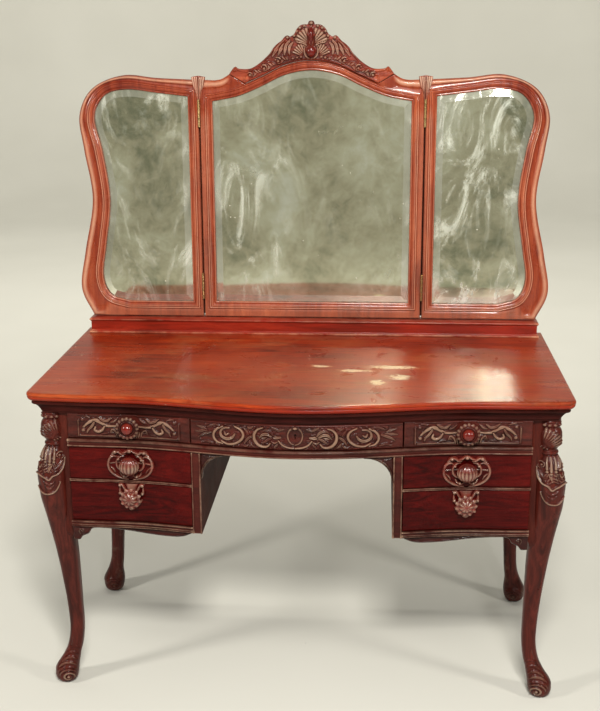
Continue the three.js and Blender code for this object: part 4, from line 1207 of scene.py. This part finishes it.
# ---- Legs ----
# Stations of a leg: height, middle x, middle y and radius.
FRONT_LEG = [(0, 579, -210, 17), (5, 579, -210, 23), (14, 579, -210, 27), (27, 578, -210, 28.5),
             (40, 576, -209, 28), (70, 564, -206, 21), (100, 554, -203, 18), (145, 548, -203, 17),
             (210, 549, -206, 18), (280, 552, -211, 21), (348, 556, -217, 24.5), (400, 560, -225, 27),
             (440, 564, -231, 29), (470, 567, -236, 31), (505, 571, -243, 33), (540, 572.5, -246.5, 34),
             (561, 573, -248, 34), (585, 570.5, -246.5, 31.8), (600, 568, -244, 29),
             (614, 566.5, -242, 25), (625, 565.5, -240, 20.5), (630, 565, -239.5, 19)]
REAR_LEG = [(0, 570, 283, 17), (5, 570, 283, 23), (14, 570, 283, 27), (27, 569.5, 283, 29),
            (40, 569, 283, 29), (70, 563, 283, 21), (100, 557, 282, 18), (145, 554, 282, 17.5),
            (210, 552, 285, 19), (280, 551, 289, 21), (348, 551, 293, 24), (420, 551, 297, 26),
            (470, 552, 297, 27)]
# The turned head of a front leg: height and radius.
LEG_RINGS = [(630, 19.4), (631, 20.8), (632.5, 22.2), (634.6, 22.9), (636.6, 22.4), (638, 20.8),
             (638.6, 19.4), (640.6, 18.8), (643, 19.2), (646, 21.4), (650, 24), (656, 26.2),
             (664, 27.6), (673, 28.0), (681, 27.2), (687, 25.4), (691, 23.0), (693, 21.4),
             (694.4, 21.0), (696, 22.0), (699, 23.6), (702, 24.2), (706, 24.0), (710, 23.4),
             (714.7, 23.2)]
LEG_HEAD_AT = (565.5, -239.5)
LEG_RELIEF = 4.0
POST_POINTS = 24


def leg_rings(levels, stations, squareness, cols, carve):
    """Rings of a leg: at each level the stations give its middle (x, y) and radius."""
    smooth = along(stations, 8)
    x0, y0, radius = (np.interp(levels, smooth[:, 0], smooth[:, k])[:, None] for k in (1, 2, 3))
    turn = np.linspace(0, 2 * math.pi, cols, endpoint=False)[None]
    power = 2 / squareness(levels)[:, None]
    dx = np.sign(np.sin(turn)) * np.abs(np.sin(turn)) ** power
    dy = -np.sign(np.cos(turn)) * np.abs(np.cos(turn)) ** power
    # the carving is drawn as seen from the front, and bends round the sides beyond the limit
    off_front = np.where(turn > math.pi, turn - 2 * math.pi, turn)
    limit = math.radians(60)
    seen = np.where(np.abs(off_front) < limit, np.sin(off_front),
                    np.sign(off_front) * (math.sin(limit) + np.abs(off_front) - limit))
    carving = Carving(x0 + radius * seen, levels[:, None] + 0 * turn)
    carve(carving)
    fade = 1 - smooth_step(np.abs(off_front), math.radians(115), math.radians(140))
    wear_and_sheen = (carving.wear_and_sheen(LEG_RELIEF).reshape(carving.shape) * fade).ravel()
    scale = radius + carving.heights() * fade
    rings = np.stack([x0 + scale * dx, y0 + scale * dy, levels[:, None] + 0 * turn], -1)
    return rings, wear_and_sheen


def knee_carving(c):
    """A cartouche on the knee: flutes above, a scroll inside, and two scalloped lips below."""
    # leaves inside the cartouche
    c.leaf([(565, 597), (569, 585), (573, 573)], 18, 4.4, 3)
    c.leaf([(594, 592), (592, 584), (590, 577)], 10, 3.8, 2)
    # lip of the cartouche, scalloped to a point, and the smaller one under it
    c.stroke([(541, 604), (541.5, 592), (545, 580), (551, 571), (558, 567), (565, 564), (572.5, 555),
              (579, 560), (588, 564), (598, 568), (610, 566)], [1.6, 2.4, 2.6, 2.6, 2.2], 4.4,
             clear=1.6)
    c.stroke([(550, 549), (554, 538), (561, 527), (571, 520), (583, 519), (593, 525), (600, 536)],
             [1.4, 2.2, 2.6, 2.2, 1.4], 4.0, clear=1.6)
    for k, half in enumerate((13, 9)):
        z = 548 - 11 * k
        c.stroke([(573 - half, z + 4), (573, z - 5), (573 + half, z + 4)], [1.0, 2.6, 1.0], 3.0,
                 crease=0.3)
    # ring scroll on the inner side
    c.scroll((551, 611), 9.5, 250, 1.3, 2.2, 3.6, hand=-1)
    c.stroke([(545, 598), (549, 588), (556, 582), (563, 584)], [1.4, 3.0, 3.0, 1.4], 3.2, crease=0.3)
    # flutes falling from the collar, each ending in a ball
    for x, low in ((561, 600), (569, 595), (578, 600), (587, 603), (596, 606), (605, 609)):
        c.stroke([(0.8 * x + 113, 627), (x, 615), (x + 0.5, low)], [2.2, 3.2, 3.6], [3.2, 4.2, 4.6],
                 clear=1.1)
        c.dome((x + 0.6, low - 3), (3.9, 3.6), 5.0, clear=1.15)
    # a small v on the outer side
    c.stroke([(586, 592), (592, 583), (600, 592)], [1.4, 2.6, 1.4], 3.6)
    c.stroke([(584, 580), (592, 573), (602, 577)], [1.4, 2.4, 1.4], 3.0)
    c.stroke([(552, 577), (560, 573), (566, 569)], [1.2, 2.2, 1.2], 2.4)


def head_carving(c):
    """A shell of slanting ribs on the leg's head, with pearls at its foot and volutes over it."""
    c.shell((547, 648), 50, 6, 82, 8, 3.4, inner=0.3)
    for x, z in ((548, 651), (554, 648), (560, 646.5)):
        c.dome((x, z), (3.0, 3.0), 3.6)
    for x in (553, 563, 574, 585):
        c.dome((x, 702.5), (4.4, 4.2), 3.4)
    c.stroke([(541, 708), (560, 709), (590, 708)], [1.6, 1.8, 1.6], 1.8)


def foot_carving(c):
    """A roundel with a spiral on the foot, and curled leaves lying across the ankle above it."""
    eye = np.array([570, 20])
    c.scroll(eye, 13, 200, 1.3, 2.9, 4.2, hand=-1, eye=1.5)
    for k, radius in enumerate((19, 25)):
        arc = [eye + radius * np.array([math.cos(a), math.sin(a)])
               for a in np.radians(np.linspace(10 + 10 * k, 140, 7))]
        c.stroke(arc, [1.4, 2.8, 3.0, 2.4, 1.2], 3.2 - 0.4 * k)
    for k, z in enumerate((53, 65, 78, 92)):
        middle = np.interp(z, (40, 70, 100), (576, 564, 554))
        half = np.interp(z, (40, 70, 100), (28, 21, 18))
        c.stroke([(middle - 0.75 * half, z - 4), (middle - 0.25 * half, z + 4),
                  (middle + 0.3 * half, z + 1), (middle + 0.8 * half, z - 9)],
                 [1.2, 3.6 - 0.4 * k, 3.4 - 0.4 * k, 1.2], 3.6 - 0.4 * k, crease=0.25)
    c.stroke([(557, 100), (554, 112), (552, 127)], [3.4, 2.6, 0.8], 2.4)


def front_leg():
    levels = np.concatenate([np.arange(0, 125, 1.5), np.arange(125, 500, 7), np.arange(500, 630, 1.15)])

    def carve(c):
        foot_carving(c)
        knee_carving(c)

    def squareness(z):
        return 2.15 + 0.85 * smooth_step(z, 70, 150) * (1 - smooth_step(z, 430, 540))

    shaft, wear_and_sheen = leg_rings(levels, FRONT_LEG, squareness, 128, carve)
    ring_z, ring_radius = np.array(LEG_RINGS).T
    head_levels = np.unique(np.concatenate([ring_z, np.arange(ring_z[0], ring_z[-1], 1.15)]).round(3))
    stations = [(z, LEG_HEAD_AT[0] + 1.5 * smooth_step(z, 640, 660), LEG_HEAD_AT[1],
                 np.interp(z, ring_z, ring_radius)) for z in head_levels]
    head, head_wear_and_sheen = leg_rings(head_levels, stations, lambda z: np.full(len(z), 2.15), 128,
                                head_carving)
    body = tube(np.concatenate([shaft, head]))
    post = [(POST_INNER_X + 9, 396), (POST_INNER_X + 5, 405), (POST_INNER_X + 1.5, 418),
            (POST_INNER_X, 436), (POST_INNER_X, 714.7)]
    post_rings = []
    for inner, z in post:
        plan = [(inner, -256), (inner + 2, -258), (548, -258), (556, -252), (582, -228), (582, -202),
                (inner, -202)]
        shrink = (inner - POST_INNER_X) / 9
        plan = np.array(plan, float)
        plan[:, 0] = np.where(plan[:, 0] > 560, plan[:, 0] - 22 * shrink, plan[:, 0])
        plan[:, 1] += 14 * shrink * (plan[:, 1] < -240)
        loop = spaced(np.vstack([plan, plan[:1]]), POST_POINTS + 1)[:-1]
        post_rings.append(np.column_stack([loop, np.full(POST_POINTS, z)]))
    pair("front_leg_{}", [(*body, np.concatenate([wear_and_sheen, head_wear_and_sheen]))], LEG_CARVED, "table",
         "dark_mahogany", ["front_leg_{}"], sharp=60)
    pair("front_leg_post_{}", [tube(post_rings)], LEG_WOOD, "table", "dark_mahogany", sharp=35)


def rear_leg():
    levels = np.concatenate([np.arange(0, 70, 1.8), np.arange(70, 470, 8)])

    def carve(c):
        c.scroll((566, 20), 12, 200, 1.3, 2.4, 2.6, hand=-1, eye=1.4)
        for radius in (18, 24):
            arc = [(566 + radius * math.cos(a), 20 + radius * math.sin(a))
                   for a in np.radians(np.linspace(20, 150, 6))]
            c.stroke(arc, [1.2, 2.2, 2.2, 1.2], 2.0)

    shaft, wear_and_sheen = leg_rings(levels, REAR_LEG, lambda z: 2.15 + 0.7 * smooth_step(z, 70, 150), 72, carve)
    head = corners("rear_leg_right")[1][2]
    plan = [(524, 268), (578, 268), (580, 270), (580, 324), (578, 326), (524, 326)]
    post = [np.column_stack([np.array(plan), np.full(6, z)]) for z in (432, 560, head)]
    # painted light: the rear legs get a raised wear floor, so they are painted lighter, as if lit from
    # the front
    pair("rear_leg_{}", [(*tube(shaft), np.maximum(wear_and_sheen, 0.4)), (*tube(post), np.full(18, 0.28))],
         LEG_CARVED, "table", "dark_mahogany", ["rear_leg_{}"], sharp=50)


# ---- Apron and kneehole brackets ----
def apron():
    top = CARCASS_BOTTOM - 0.3
    lower = along([(POST_INNER_X - 0.3, 402), (512, 402), (504, 411), (490, 418), (480, 431),
                   (455, 433), (400, 429), (345, 423), (300, 421), (266, 424), (239, 436)], 8)
    outline = [*lower[::-1].tolist(), (POST_INNER_X - 0.3, top), (239, top)]

    def carve(c):
        line = [(x, z + 4.0) for x, z in lower[::-1].tolist() if 250 < x < 520]
        c.stroke(line, [1.3, 1.6, 1.3], 1.6, steps=1)
        c.scroll((505, 424), 8, 300, 1.1, 1.8, 2.4)
        c.scroll((259, 431), 4.5, 120, 0.9, 1.4, 1.8, eye=1.2)

    # a low full paints the edge stroke and scrolls paler, as wear and painted highlight
    board = carved_board(outline, 2.2, carve, lambda x, z: face(x) + 2, -262, round_over=1.6, full=2.4)
    pair("apron_{}", [board], CASE_CARVED, "table", "dark_mahogany", ["apron_{}"], sharp=50)


def kneehole_bracket():
    """A hollow quarter-round bracket with reeds along its curve."""
    outer, _, top = corners("kneehole_bracket_right")[1]
    reach, drop = 62, 58
    turn = np.linspace(0, math.pi / 2, 22)
    arc = list(zip(outer - reach * (1 - np.sin(turn)) - 3, top - 4 - drop * (1 - np.cos(turn))))
    outline = [(outer, top), (outer - reach - 3, top), *arc, (outer, top - drop - 8)]

    def carve(c):
        for inset, width in ((3.4, 1.7), (8.4, 1.5), (13.6, 1.5)):
            line = [(outer - (outer - x) * (1 - inset / 90), top - (top - z) * (1 - inset / 70))
                    for x, z in arc]
            c.stroke(line[1:], [width, width], 2.6, steps=2)
        c.dome((outer - 4.6, top - drop - 3.5), (4.4, 4.4), 4.0)
        c.stroke([(outer - 3, top - 6), (outer - 18, top - 10), (outer - 30, top - 7)], [1.6, 2.2, 1.2],
                 1.8)

    # a low full paints the reeds and ball paler, as wear and painted highlight
    board = carved_board(outline[::-1], 1.4, carve, lambda x, z: face(x) + 2, -283, round_over=1.2,
                         full=3.0)
    pair("kneehole_bracket_{}", [board], CASE_CARVED, "table", "dark_mahogany", ["kneehole_bracket_{}"],
         sharp=50)


# ---- Pulls ----
def on_face(x, z):
    return face(x) + 0 * np.asarray(z)


def frieze_knobs():
    """A ribbed shell rim round a smooth dome, on a short stem."""
    z = 688
    rim = [(9.5, -0.4, 0), (9, 6, 0), (11, 10, 0), (17, 13, 0.3), (23, 15.5, 0.6), (25.6, 18.6, 0.9),
           (26, 21, 1), (24.8, 23.4, 1), (22, 24.6, 0.9), (19.4, 24, 0.5), (18.4, 22.6, 0),
           (17.6, 23.6, 0), (16.4, 24.4, 0.1), (15.2, 23.8, 0), (14.2, 22, 0)]
    shell = turned((FRIEZE_KNOB_X, z), rim, on_face, ribs=16, depth=0.03, cols=112, full=0.8)
    crown = [(12.4, 20, 0), (13.2, 23, 0), (13, 27, 0), (11.6, 31, 0), (9.2, 34, 0), (6, 35.9, 0),
             (3, 36.8, 0), (0.5, 37, 0)]
    dome = turned((FRIEZE_KNOB_X, z), crown, on_face)
    pair("frieze_knob_{}", [shell], CARVED, "side_frieze_drawer_{}", "carved_mahogany",
         ["frieze_knob_{}"], sharp=60)
    pair("frieze_knob_dome_{}", [dome], KNOB_WOOD, "side_frieze_drawer_{}", "carved_mahogany", sharp=60)


class Pull:
    """A pull built up from strips and turned studs round its middle on a drawer's face."""

    def __init__(self, x, z):
        self.x, self.z = x, z
        self.parts = []

    def lay(self, side, line, widths, heights):
        places = [(self.x + side * x, self.z + z) for x, z in line]
        self.parts.append(strip(places, widths, heights, on_face))

    def stud(self, x, z, profile, **form):
        self.parts.append(turned((self.x + x, self.z + z), profile, on_face, **form))


def upper_pulls():
    """A pierced oval of scrolls round a ribbed shell ball."""
    pull = Pull(FRIEZE_KNOB_X, 595)
    for side in (-1, 1):
        ring = [(51.5 * math.sin(a), -36.5 * math.cos(a)) for a in np.radians(np.linspace(6, 148, 14))]
        pull.lay(side, ring, [1.8, 3.6, 4.0, 4.0, 3.0, 1.6], [4, 7, 8, 8, 6, 3])
        pull.lay(side, [(14, 20), (24, 18), (31, 8), (30, -5), (22, -13), (14, -12)],
            [1.6, 3.0, 3.4, 3.4, 2.6, 1.4], [4, 8, 9, 9, 7, 4])
        pull.lay(side, [(50, 7), (45, 16), (37, 20), (29, 16)], [1.4, 2.8, 2.8, 1.2], [3, 6, 6, 3])
        pull.lay(side, [(44, 22), (37, 30), (27, 31), (19, 25), (11, 24)], [1.6, 3.4, 3.6, 3.2, 1.4],
            [4, 9, 10, 9, 5])
        pull.lay(side, [(19, 27), (10, 30), (3, 37)], [1.6, 3.2, 2.2], [5, 9, 9])
        pull.lay(side, [(4, -25), (12, -30), (21, -26), (25, -19)], [1.4, 2.8, 2.8, 1.4], [4, 7, 6, 3])
        pull.lay(side, [(47, -6), (40, -12), (36, -20)], [1.2, 2.4, 1.2], [3, 5, 3])
        pull.lay(side, [(18, 4), (38, 3), (50, 1)], [2.2, 2.2, 2.2], [3, 3, 3])
        for x, z, r in ((34, 31, 4.2), (27, 14, 3.4), (15, -27, 3.6)):
            pull.stud(side * x, z, [(r, 2, 0), (r, 8, 0.3), (r * 0.8, 10.5, 0.8), (r * 0.4, 12, 1),
                                    (0.3, 12.4, 1)], cols=20)
    pull.stud(0, 34, [(5, 2, 0), (5, 8, 0.3), (4, 11, 0.8), (2, 12.6, 1), (0.3, 13, 1)], cols=20)
    pull.stud(0, 0, [(12, -0.4, 0), (10, 8, 0), (11, 12, 0)], cols=28)
    ball_at = (pull.x, float(face(pull.x)) - 19, pull.z + 2)
    pull.parts.append(scallop(ball_at, (20.5, 15.5, 21.5), 15, 0.12))
    pair("upper_pull_{}", pull.parts, CARVED_RED, "upper_drawer_{}", "carved_mahogany",
         ["upper_pull_{}"], sharp=60)


def lower_pulls():
    """A domed bud in a petalled cup, hung between two scrolled ears, with a point below."""
    pull = Pull(FRIEZE_KNOB_X, 516)
    for side in (-1, 1):
        pull.lay(side, [(30, 30), (24, 31), (20, 27), (15, 18), (10, 10)], [1.6, 2.8, 3.0, 2.8, 2.4],
                 [3, 7, 8, 8, 8])
        pull.lay(side, [(27, 24), (27, 12), (24, 4)], [1.2, 2.8, 1.6], [3, 6, 6])
        pull.lay(side, [(24, -6), (16, -17), (7, -25), (1, -31)], [2.2, 3.4, 2.8, 1.4], [8, 9, 7, 3])
        pull.stud(side * 26, 29, [(3.8, 1, 0), (3.8, 6, 0.3), (3, 8.5, 0.8), (0.3, 9.6, 1)], cols=20)
        pull.stud(side * 26, 10, [(3.6, 1, 0), (3.6, 7, 0.3), (2.8, 9.5, 0.8), (0.3, 10.6, 1)], cols=20)
    pull.lay(1, [(0, 31), (0, 22), (0, 10)], [15, 12, 9], [3, 4, 4])
    pull.stud(0, 2, [(13, -0.4, 0), (11, 8, 0), (14, 12, 0.3), (20, 15, 0.8), (23.4, 18, 1),
                     (23.8, 20.4, 1), (21.6, 22.6, 1), (17.6, 23, 0.6), (15, 22, 0)],
              ribs=11, depth=0.075, cols=99)
    pull.stud(0, -23, [(8, 1, 0), (8, 9, 0.3), (6, 13, 0.6), (3, 15, 0.8), (0.4, 15.6, 1)], cols=24)
    pair("lower_pull_{}", pull.parts, CARVED_RED, "lower_drawer_{}", "carved_mahogany",
         ["lower_pull_{}"], sharp=60)
    bud = turned((pull.x, pull.z + 3), [(15.4, 20, 0), (16, 23, 0.8), (15, 27, 1), (12.4, 30.4, 1),
                                        (8, 32.8, 1), (3.6, 34, 0.6), (0.4, 34.3, 0)],
                 on_face, ribs=9, depth=0.05, cols=90)
    pair("lower_pull_bud_{}", [bud], CARVED_RED, "lower_drawer_{}", "carved_mahogany", sharp=60)


# ---- Crest ----
def crest_outline():
    upper = along([CREST_END, (205, 1452), (196, 1462), (186, 1457), (158, 1457), (132, 1471),
                   (107, 1494), (97, 1508), (87, 1518), (76, 1526), (67, 1536), (60, 1539), (54, 1536),
                   (43, 1543), (38, 1553), (28, 1563), (17, 1566), (9, 1566), (6, 1573), (0, 1575)],
                  4).tolist()
    lower = [p for p in arch(HEAD_RAIL + 0.6).tolist() if abs(p[0]) < HEAD_RAIL_END]
    right = [(min(x, 210), z) for x, z in upper]
    return [*lower[::-1], *right, *mirror_x(right[:-1][::-1])]


def crest_carving(c):
    """A palmette over a cabochon, leaves falling to each side, and a carved strip down each slope."""
    line = arch(0)[::-1]

    def above(x, rise):
        return float(np.interp(x, line[:, 0], line[:, 1])) + rise

    for _, side in SIDES:
        def s(points, widths, height, crease=0.0):
            c.stroke([(side * x, z) for x, z in points], widths, height, crease)

        # smooth upper edge bead and the strip's frame
        s([(203, 1450), (194, 1457), (180, 1453), (158, 1452), (134, 1465), (112, 1485)],
          [1.8, 2.6, 2.4, 2.4], 2.6)
        s([(x, above(x, 28.5)) for x in (172, 150, 130, 110, 90, 70, 50, 30, 10, 0)], [1.6, 1.6], 2.4)
        s([(172, above(172, 28)), (172, above(172, 43))], [1.6, 1.6], 2.4)
        s([(172, above(172, 43)), (150, above(150, 46)), (130, above(130, 51)), (112, above(112, 57))],
          [1.4, 1.4], 2.0)
        # strip carving: leaves and scrolls running up the arch
        for x, radius in ((157, 7.5), (120, 10.5), (84, 11)):
            c.scroll((side * x, above(x, 40)), radius, 90 - side * 60, 1.0, 3.0, 5.0, hand=side)
        for x, big in ((138, 1.0), (102, 1.25), (68, 1.1)):
            s([(x + 9, above(x + 9, 33)), (x, above(x, 42)), (x - 9, above(x - 9, 36))],
              [2.0, 5.2 * big, 1.8], 5.0, 0.35)
            s([(x + 7, above(x + 7, 48)), (x - 3, above(x - 3, 36))], [1.8, 3.4 * big, 1.4], 4.4)
            c.dome((side * (x - 11), above(x - 11, 47)), (3.2, 3.2), 4.4)
        for x in (47, 36, 26):
            c.dome((side * x, above(x, 35)), (4.6, 4.0), 4.6)
        # leaves leaning out over the shoulder
        s([(112, 1486), (100, 1503), (90, 1514), (80, 1523)], [1.8, 4.6, 4.6, 1.8], 4.4, 0.45)
        s([(98, 1488), (90, 1502), (80, 1514), (70, 1526)], [2.2, 5.6, 5.6, 2.2], 5.0, 0.4)
        s([(83, 1491), (78, 1503), (71, 1514), (63, 1524)], [2.2, 5.2, 5.4, 2.2], 5.6, 0.35)
        s([(68, 1492), (66, 1504), (62, 1516), (54, 1527)], [2.2, 5.2, 5.6, 2.6], 6.0, 0.35)
        s([(55, 1493), (56, 1504), (53, 1514), (46, 1522)], [2.0, 4.6, 5.0, 2.0], 6.0, 0.3)
        c.dome((side * 60, 1534), (5.0, 4.6), 5.6)
        # flutes fanning out beside the cabochon
        c.shell((side * 12, 1484), 39, *((18, 84) if side > 0 else (96, 162)), 6, 6.2, inner=0.35)
        s([(0, 1482.5), (9, 1484.5), (15, 1491), (17.5, 1502), (15, 1512)], [2.6, 2.6, 2.4, 2.0, 1.4],
          6.4)
        # small curls along the palmette's foot and rim
        s([(12, 1515), (22, 1521), (33, 1523), (43, 1530)], [2.2, 3.6, 3.6, 2.0], 6.6, 0.3)
        for x, z, r in ((43, 1538, 4.2), (37, 1549, 4.4), (28.5, 1557.5, 4.4), (17, 1562, 4.2)):
            c.dome((side * x, z), (r, r), 6.8)
        c.scroll((side * 195, 1455), 5.5, 90, 0.9, 1.8, 3.0, hand=-side)
    for start in (14, 102):
        c.shell((0, 1516), 43, start, start + 64, 5, 7.0, inner=0.22)
    c.stroke([(0, 1518), (0, 1540), (0, 1562)], [6.5, 8.5, 4.0], [5, 5, 4])
    c.dome((0, 1569), (5.2, 5.0), 7.8)
    c.dome((0, 1500), (11.5, 14), 4)
    c.pebble(0.3, 3.0, 3)


def crest():
    base = MIRROR_FRONT_Y - 1
    board = carved_board(crest_outline(), 1.25, crest_carving, lambda x, z: base + 0 * x, base + 17,
                         round_over=1.3, full=5.0)
    piece("crest", [board], CREST_CARVED, "table", "carved_mahogany", ["crest"], sharp=60)
    stone = [(11, 2, 0), (11.2, 5, 0), (10.6, 8, 0), (9, 10.6, 0), (6.6, 12.4, 0), (3.6, 13.6, 0),
             (0.3, 14, 0)]
    points, faces, wear_and_sheen = turned((0, 1500), stone, lambda x, z: base)
    points[:, 2] = 1500 + (points[:, 2] - 1500) * 1.3
    bud = strip([(0, 1517), (0, 1530), (0, 1545), (0, 1560)], [2.5, 6.0, 7.2, 2.0], [9, 12.5, 12.5, 7],
                lambda x, z: base + 0 * x, sides=13)
    piece("crest_cabochon", [(points, faces, wear_and_sheen), bud], KNOB_WOOD, "table", "carved_mahogany",
          sharp=60)


# ---- Leaf capitals over the hinged joints ----
def capital(side_of_joint):
    """Half of the leaf that covers a joint between two frames; -1 is the fixed half, 1 the wing's."""
    gap = 0.4

    def at(out):
        return HINGE_X + side_of_joint * (gap + out)

    outline = [(at(0), 1372), (at(2.4), 1378), (at(5), 1392), (at(8.5), 1404), (at(13), 1414),
               (at(16), 1424), (at(17.5), 1437), (at(9), 1438.5), (at(0), 1440)]
    if side_of_joint < 0:
        outline = outline[::-1]

    def carve(c):
        for foot, head, width in ((1.6, 3.2, 1.5), (2.4, 8.2, 2.4), (3.4, 14, 2.6)):
            c.stroke([(at(foot), 1376 + 8 * (head > 4) + 10 * (head > 9)), (at(0.6 * head), 1404),
                      (at(head), 1435)], [0.8, width, width + 0.6], [1.4, 1.8, 2.2], clear=1.1)

    return [carved_board(outline, 0.9, carve, lambda x, z: MIRROR_FRONT_Y - 0.9 + 0 * x,
                         MIRROR_FRONT_Y + 6, round_over=0.8, full=1.9)]


def joint_covers():
    """A thin lath behind each joint, fixed to the middle frame, that the wing folds away from."""
    low = (HINGE_X - 9, MIRROR_BACK_Y + 0.4, MIRROR_BOTTOM + 3)
    high = (HINGE_X + 7, MIRROR_BACK_Y + 4, 1424)
    plan = [(low[0], high[1]), (low[0], low[1]), (high[0], low[1]), (high[0], high[1])]
    rings = [[(x, y, z) for x, y in plan] for z in (low[2], high[2])]
    pair("joint_cover_{}", [tube(rings)], CASE_WOOD, "table", "dark_mahogany", sharp=30)


def capitals():
    pair("joint_leaf_{}_fixed_half", capital(-1), FRAME_CARVED, "table", "polished_mahogany", sharp=60)
    pair("joint_leaf_{}_wing_half", capital(1), FRAME_CARVED, "wing_{}", "polished_mahogany", sharp=60)


table_top()
top_moulding()
rail_mouldings()
stile_mouldings()
plain_fronts()
frieze_fronts()
center_frame()
wing_frames()
glasses()
plinth()
front_leg()
rear_leg()
apron()
kneehole_bracket()
frieze_knobs()
upper_pulls()
lower_pulls()
crest()
joint_covers()
capitals()


# ---- CAD pieces whose shape is right ----
def soften(shown, width):
    """Rounds the sharp edges of a board a little, as handling does."""
    rounding = shown.modifiers.new("worn edges", "BEVEL")
    rounding.width = width * MM
    rounding.segments = 2
    rounding.limit_method = "ANGLE"
    rounding.angle_limit = math.radians(35)
    rounding.harden_normals = True


def finish_nodes():
    """Gives each CAD node that still shows its material, and softens its edges."""
    finishes = {
        "dark_mahogany": CASE_WOOD,
        "drawer_lining": LINING,
        "backboard": BACKING,
        "brass": BRASS,
        "lock_steel": STEEL,
    }
    sides = [f"{panel}_panel_{word}" for panel in ("side", "inner") for word, _ in SIDES]
    for part in frame["record"]["subparts"]:
        node = frame["nodes"][part["node"]]
        if node.hide_render:
            continue
        finish = SIDE_WOOD if part["node"] in sides else finishes[part["material_slot"]]
        node.data.materials.clear()
        node.data.materials.append(finish)
        soften(node, 0.4)


finish_nodes()


# ---- Stage ----
CAMERA_AT = (0.182, -2.769, 1.548)
CAMERA_TURN = math.radians(3.99)  # to the left of straight back
CAMERA_PITCH = math.radians(15.41)  # downwards
CAMERA_ROLL = math.radians(-0.28)
FOCAL_WIDTHS = 1175 / 600  # focal length as a share of the picture's width


def camera():
    data = bpy.data.cameras.new("camera")
    data.sensor_fit = "HORIZONTAL"
    data.sensor_width = 36
    data.lens = data.sensor_width * FOCAL_WIDTHS
    data.clip_end = 200
    seen_from = bpy.data.objects.new("camera", data)
    bpy.context.scene.collection.objects.link(seen_from)
    turn = Matrix.Rotation(CAMERA_TURN, 4, "Z") @ Matrix.Rotation(math.pi / 2 - CAMERA_PITCH, 4, "X")
    seen_from.matrix_world = Matrix.Translation(CAMERA_AT) @ turn @ Matrix.Rotation(CAMERA_ROLL, 4, "Z")
    bpy.context.scene.camera = seen_from


def cyclorama():
    """A pale floor that sweeps up into a round wall, far enough out to stay behind every view."""
    flat, curve, height = 7.5, 3.0, 7.0
    bend = [(flat + curve * math.sin(t), curve * (1 - math.cos(t)))
            for t in np.linspace(0, math.pi / 2, 14)]
    profile = [(0.001, 0.0), (2.5, 0.0), (5.0, 0.0), *bend, (flat + curve, height)]
    turns = np.linspace(0, 2 * math.pi, 72, endpoint=False)
    rings = [[(r * math.cos(t), r * math.sin(t), z - 0.0004) for t in turns] for r, z in profile]
    points = np.array(rings).reshape(-1, 3)
    faces = quads(len(profile), len(turns), wrap=True)[:, ::-1].tolist()
    mesh = bpy.data.meshes.new("cyclorama")
    mesh.from_pydata(points.tolist(), [], faces)
    mesh.shade_smooth()
    s = Shader("paper")
    cloud = s.noise(s.place((1, 1, 1)), 0.6, 3.0)
    colour = s.ramp(cloud, [(0.3, (0.60, 0.59, 0.54)), (0.7, (0.66, 0.65, 0.60))])
    mesh.materials.append(s.surface(Base_Color=colour, Roughness=0.85, Specular_IOR_Level=0.2))
    wall = bpy.data.objects.new("cyclorama", mesh)
    bpy.context.scene.collection.objects.link(wall)


def area_light(name, at, towards, size, power, colour):
    data = bpy.data.lights.new(name, "AREA")
    data.shape = "RECTANGLE"
    data.size, data.size_y = size
    data.energy = power
    data.color = colour
    lamp = bpy.data.objects.new(name, data)
    lamp.location = at
    lamp.rotation_mode = "QUATERNION"
    lamp.rotation_quaternion = (Vector(towards) - Vector(at)).to_track_quat("-Z", "Y")
    bpy.context.scene.collection.objects.link(lamp)


def lights():
    """A high lamp in front, one on each side, a small low one, two behind and little light around."""
    area_light("key_lamp", (0.35, -2.9, 3.1), (0.0, 0.1, 0.6), (0.7, 0.5), 150, (1.0, 0.97, 0.90))
    area_light("left_lamp", (-2.5, -1.6, 2.0), (0.1, 0.2, 0.55), (0.4, 0.4), 42, (1.0, 0.97, 0.90))
    area_light("right_lamp", (2.6, -1.4, 2.1), (-0.1, 0.2, 0.55), (0.4, 0.4), 30, (1.0, 0.97, 0.90))
    area_light("front_lamp", (0.88, -3.3, 2.0), (0.1, 0.2, 0.75), (0.22, 0.22), 22, (1.0, 0.99, 0.98))
    area_light("backdrop_lamp", (-0.4, 1.8, 5.4), (-0.4, 9, 2.2), (6.0, 2.0), 560, (1.0, 0.97, 0.88))
    area_light("room_lamp", (0, -4.2, 4.5), (0, -9.5, 1.0), (5.0, 1.5), 120, (1.0, 0.96, 0.84))
    world = bpy.data.worlds.new("world")
    world.use_nodes = True
    background = world.node_tree.nodes["Background"]
    background.inputs["Color"].default_value = (0.85, 0.88, 0.82, 1)
    background.inputs["Strength"].default_value = 0.12
    bpy.context.scene.world = world
    bpy.context.scene.view_settings.view_transform = "Standard"


camera()
cyclorama()
lights()
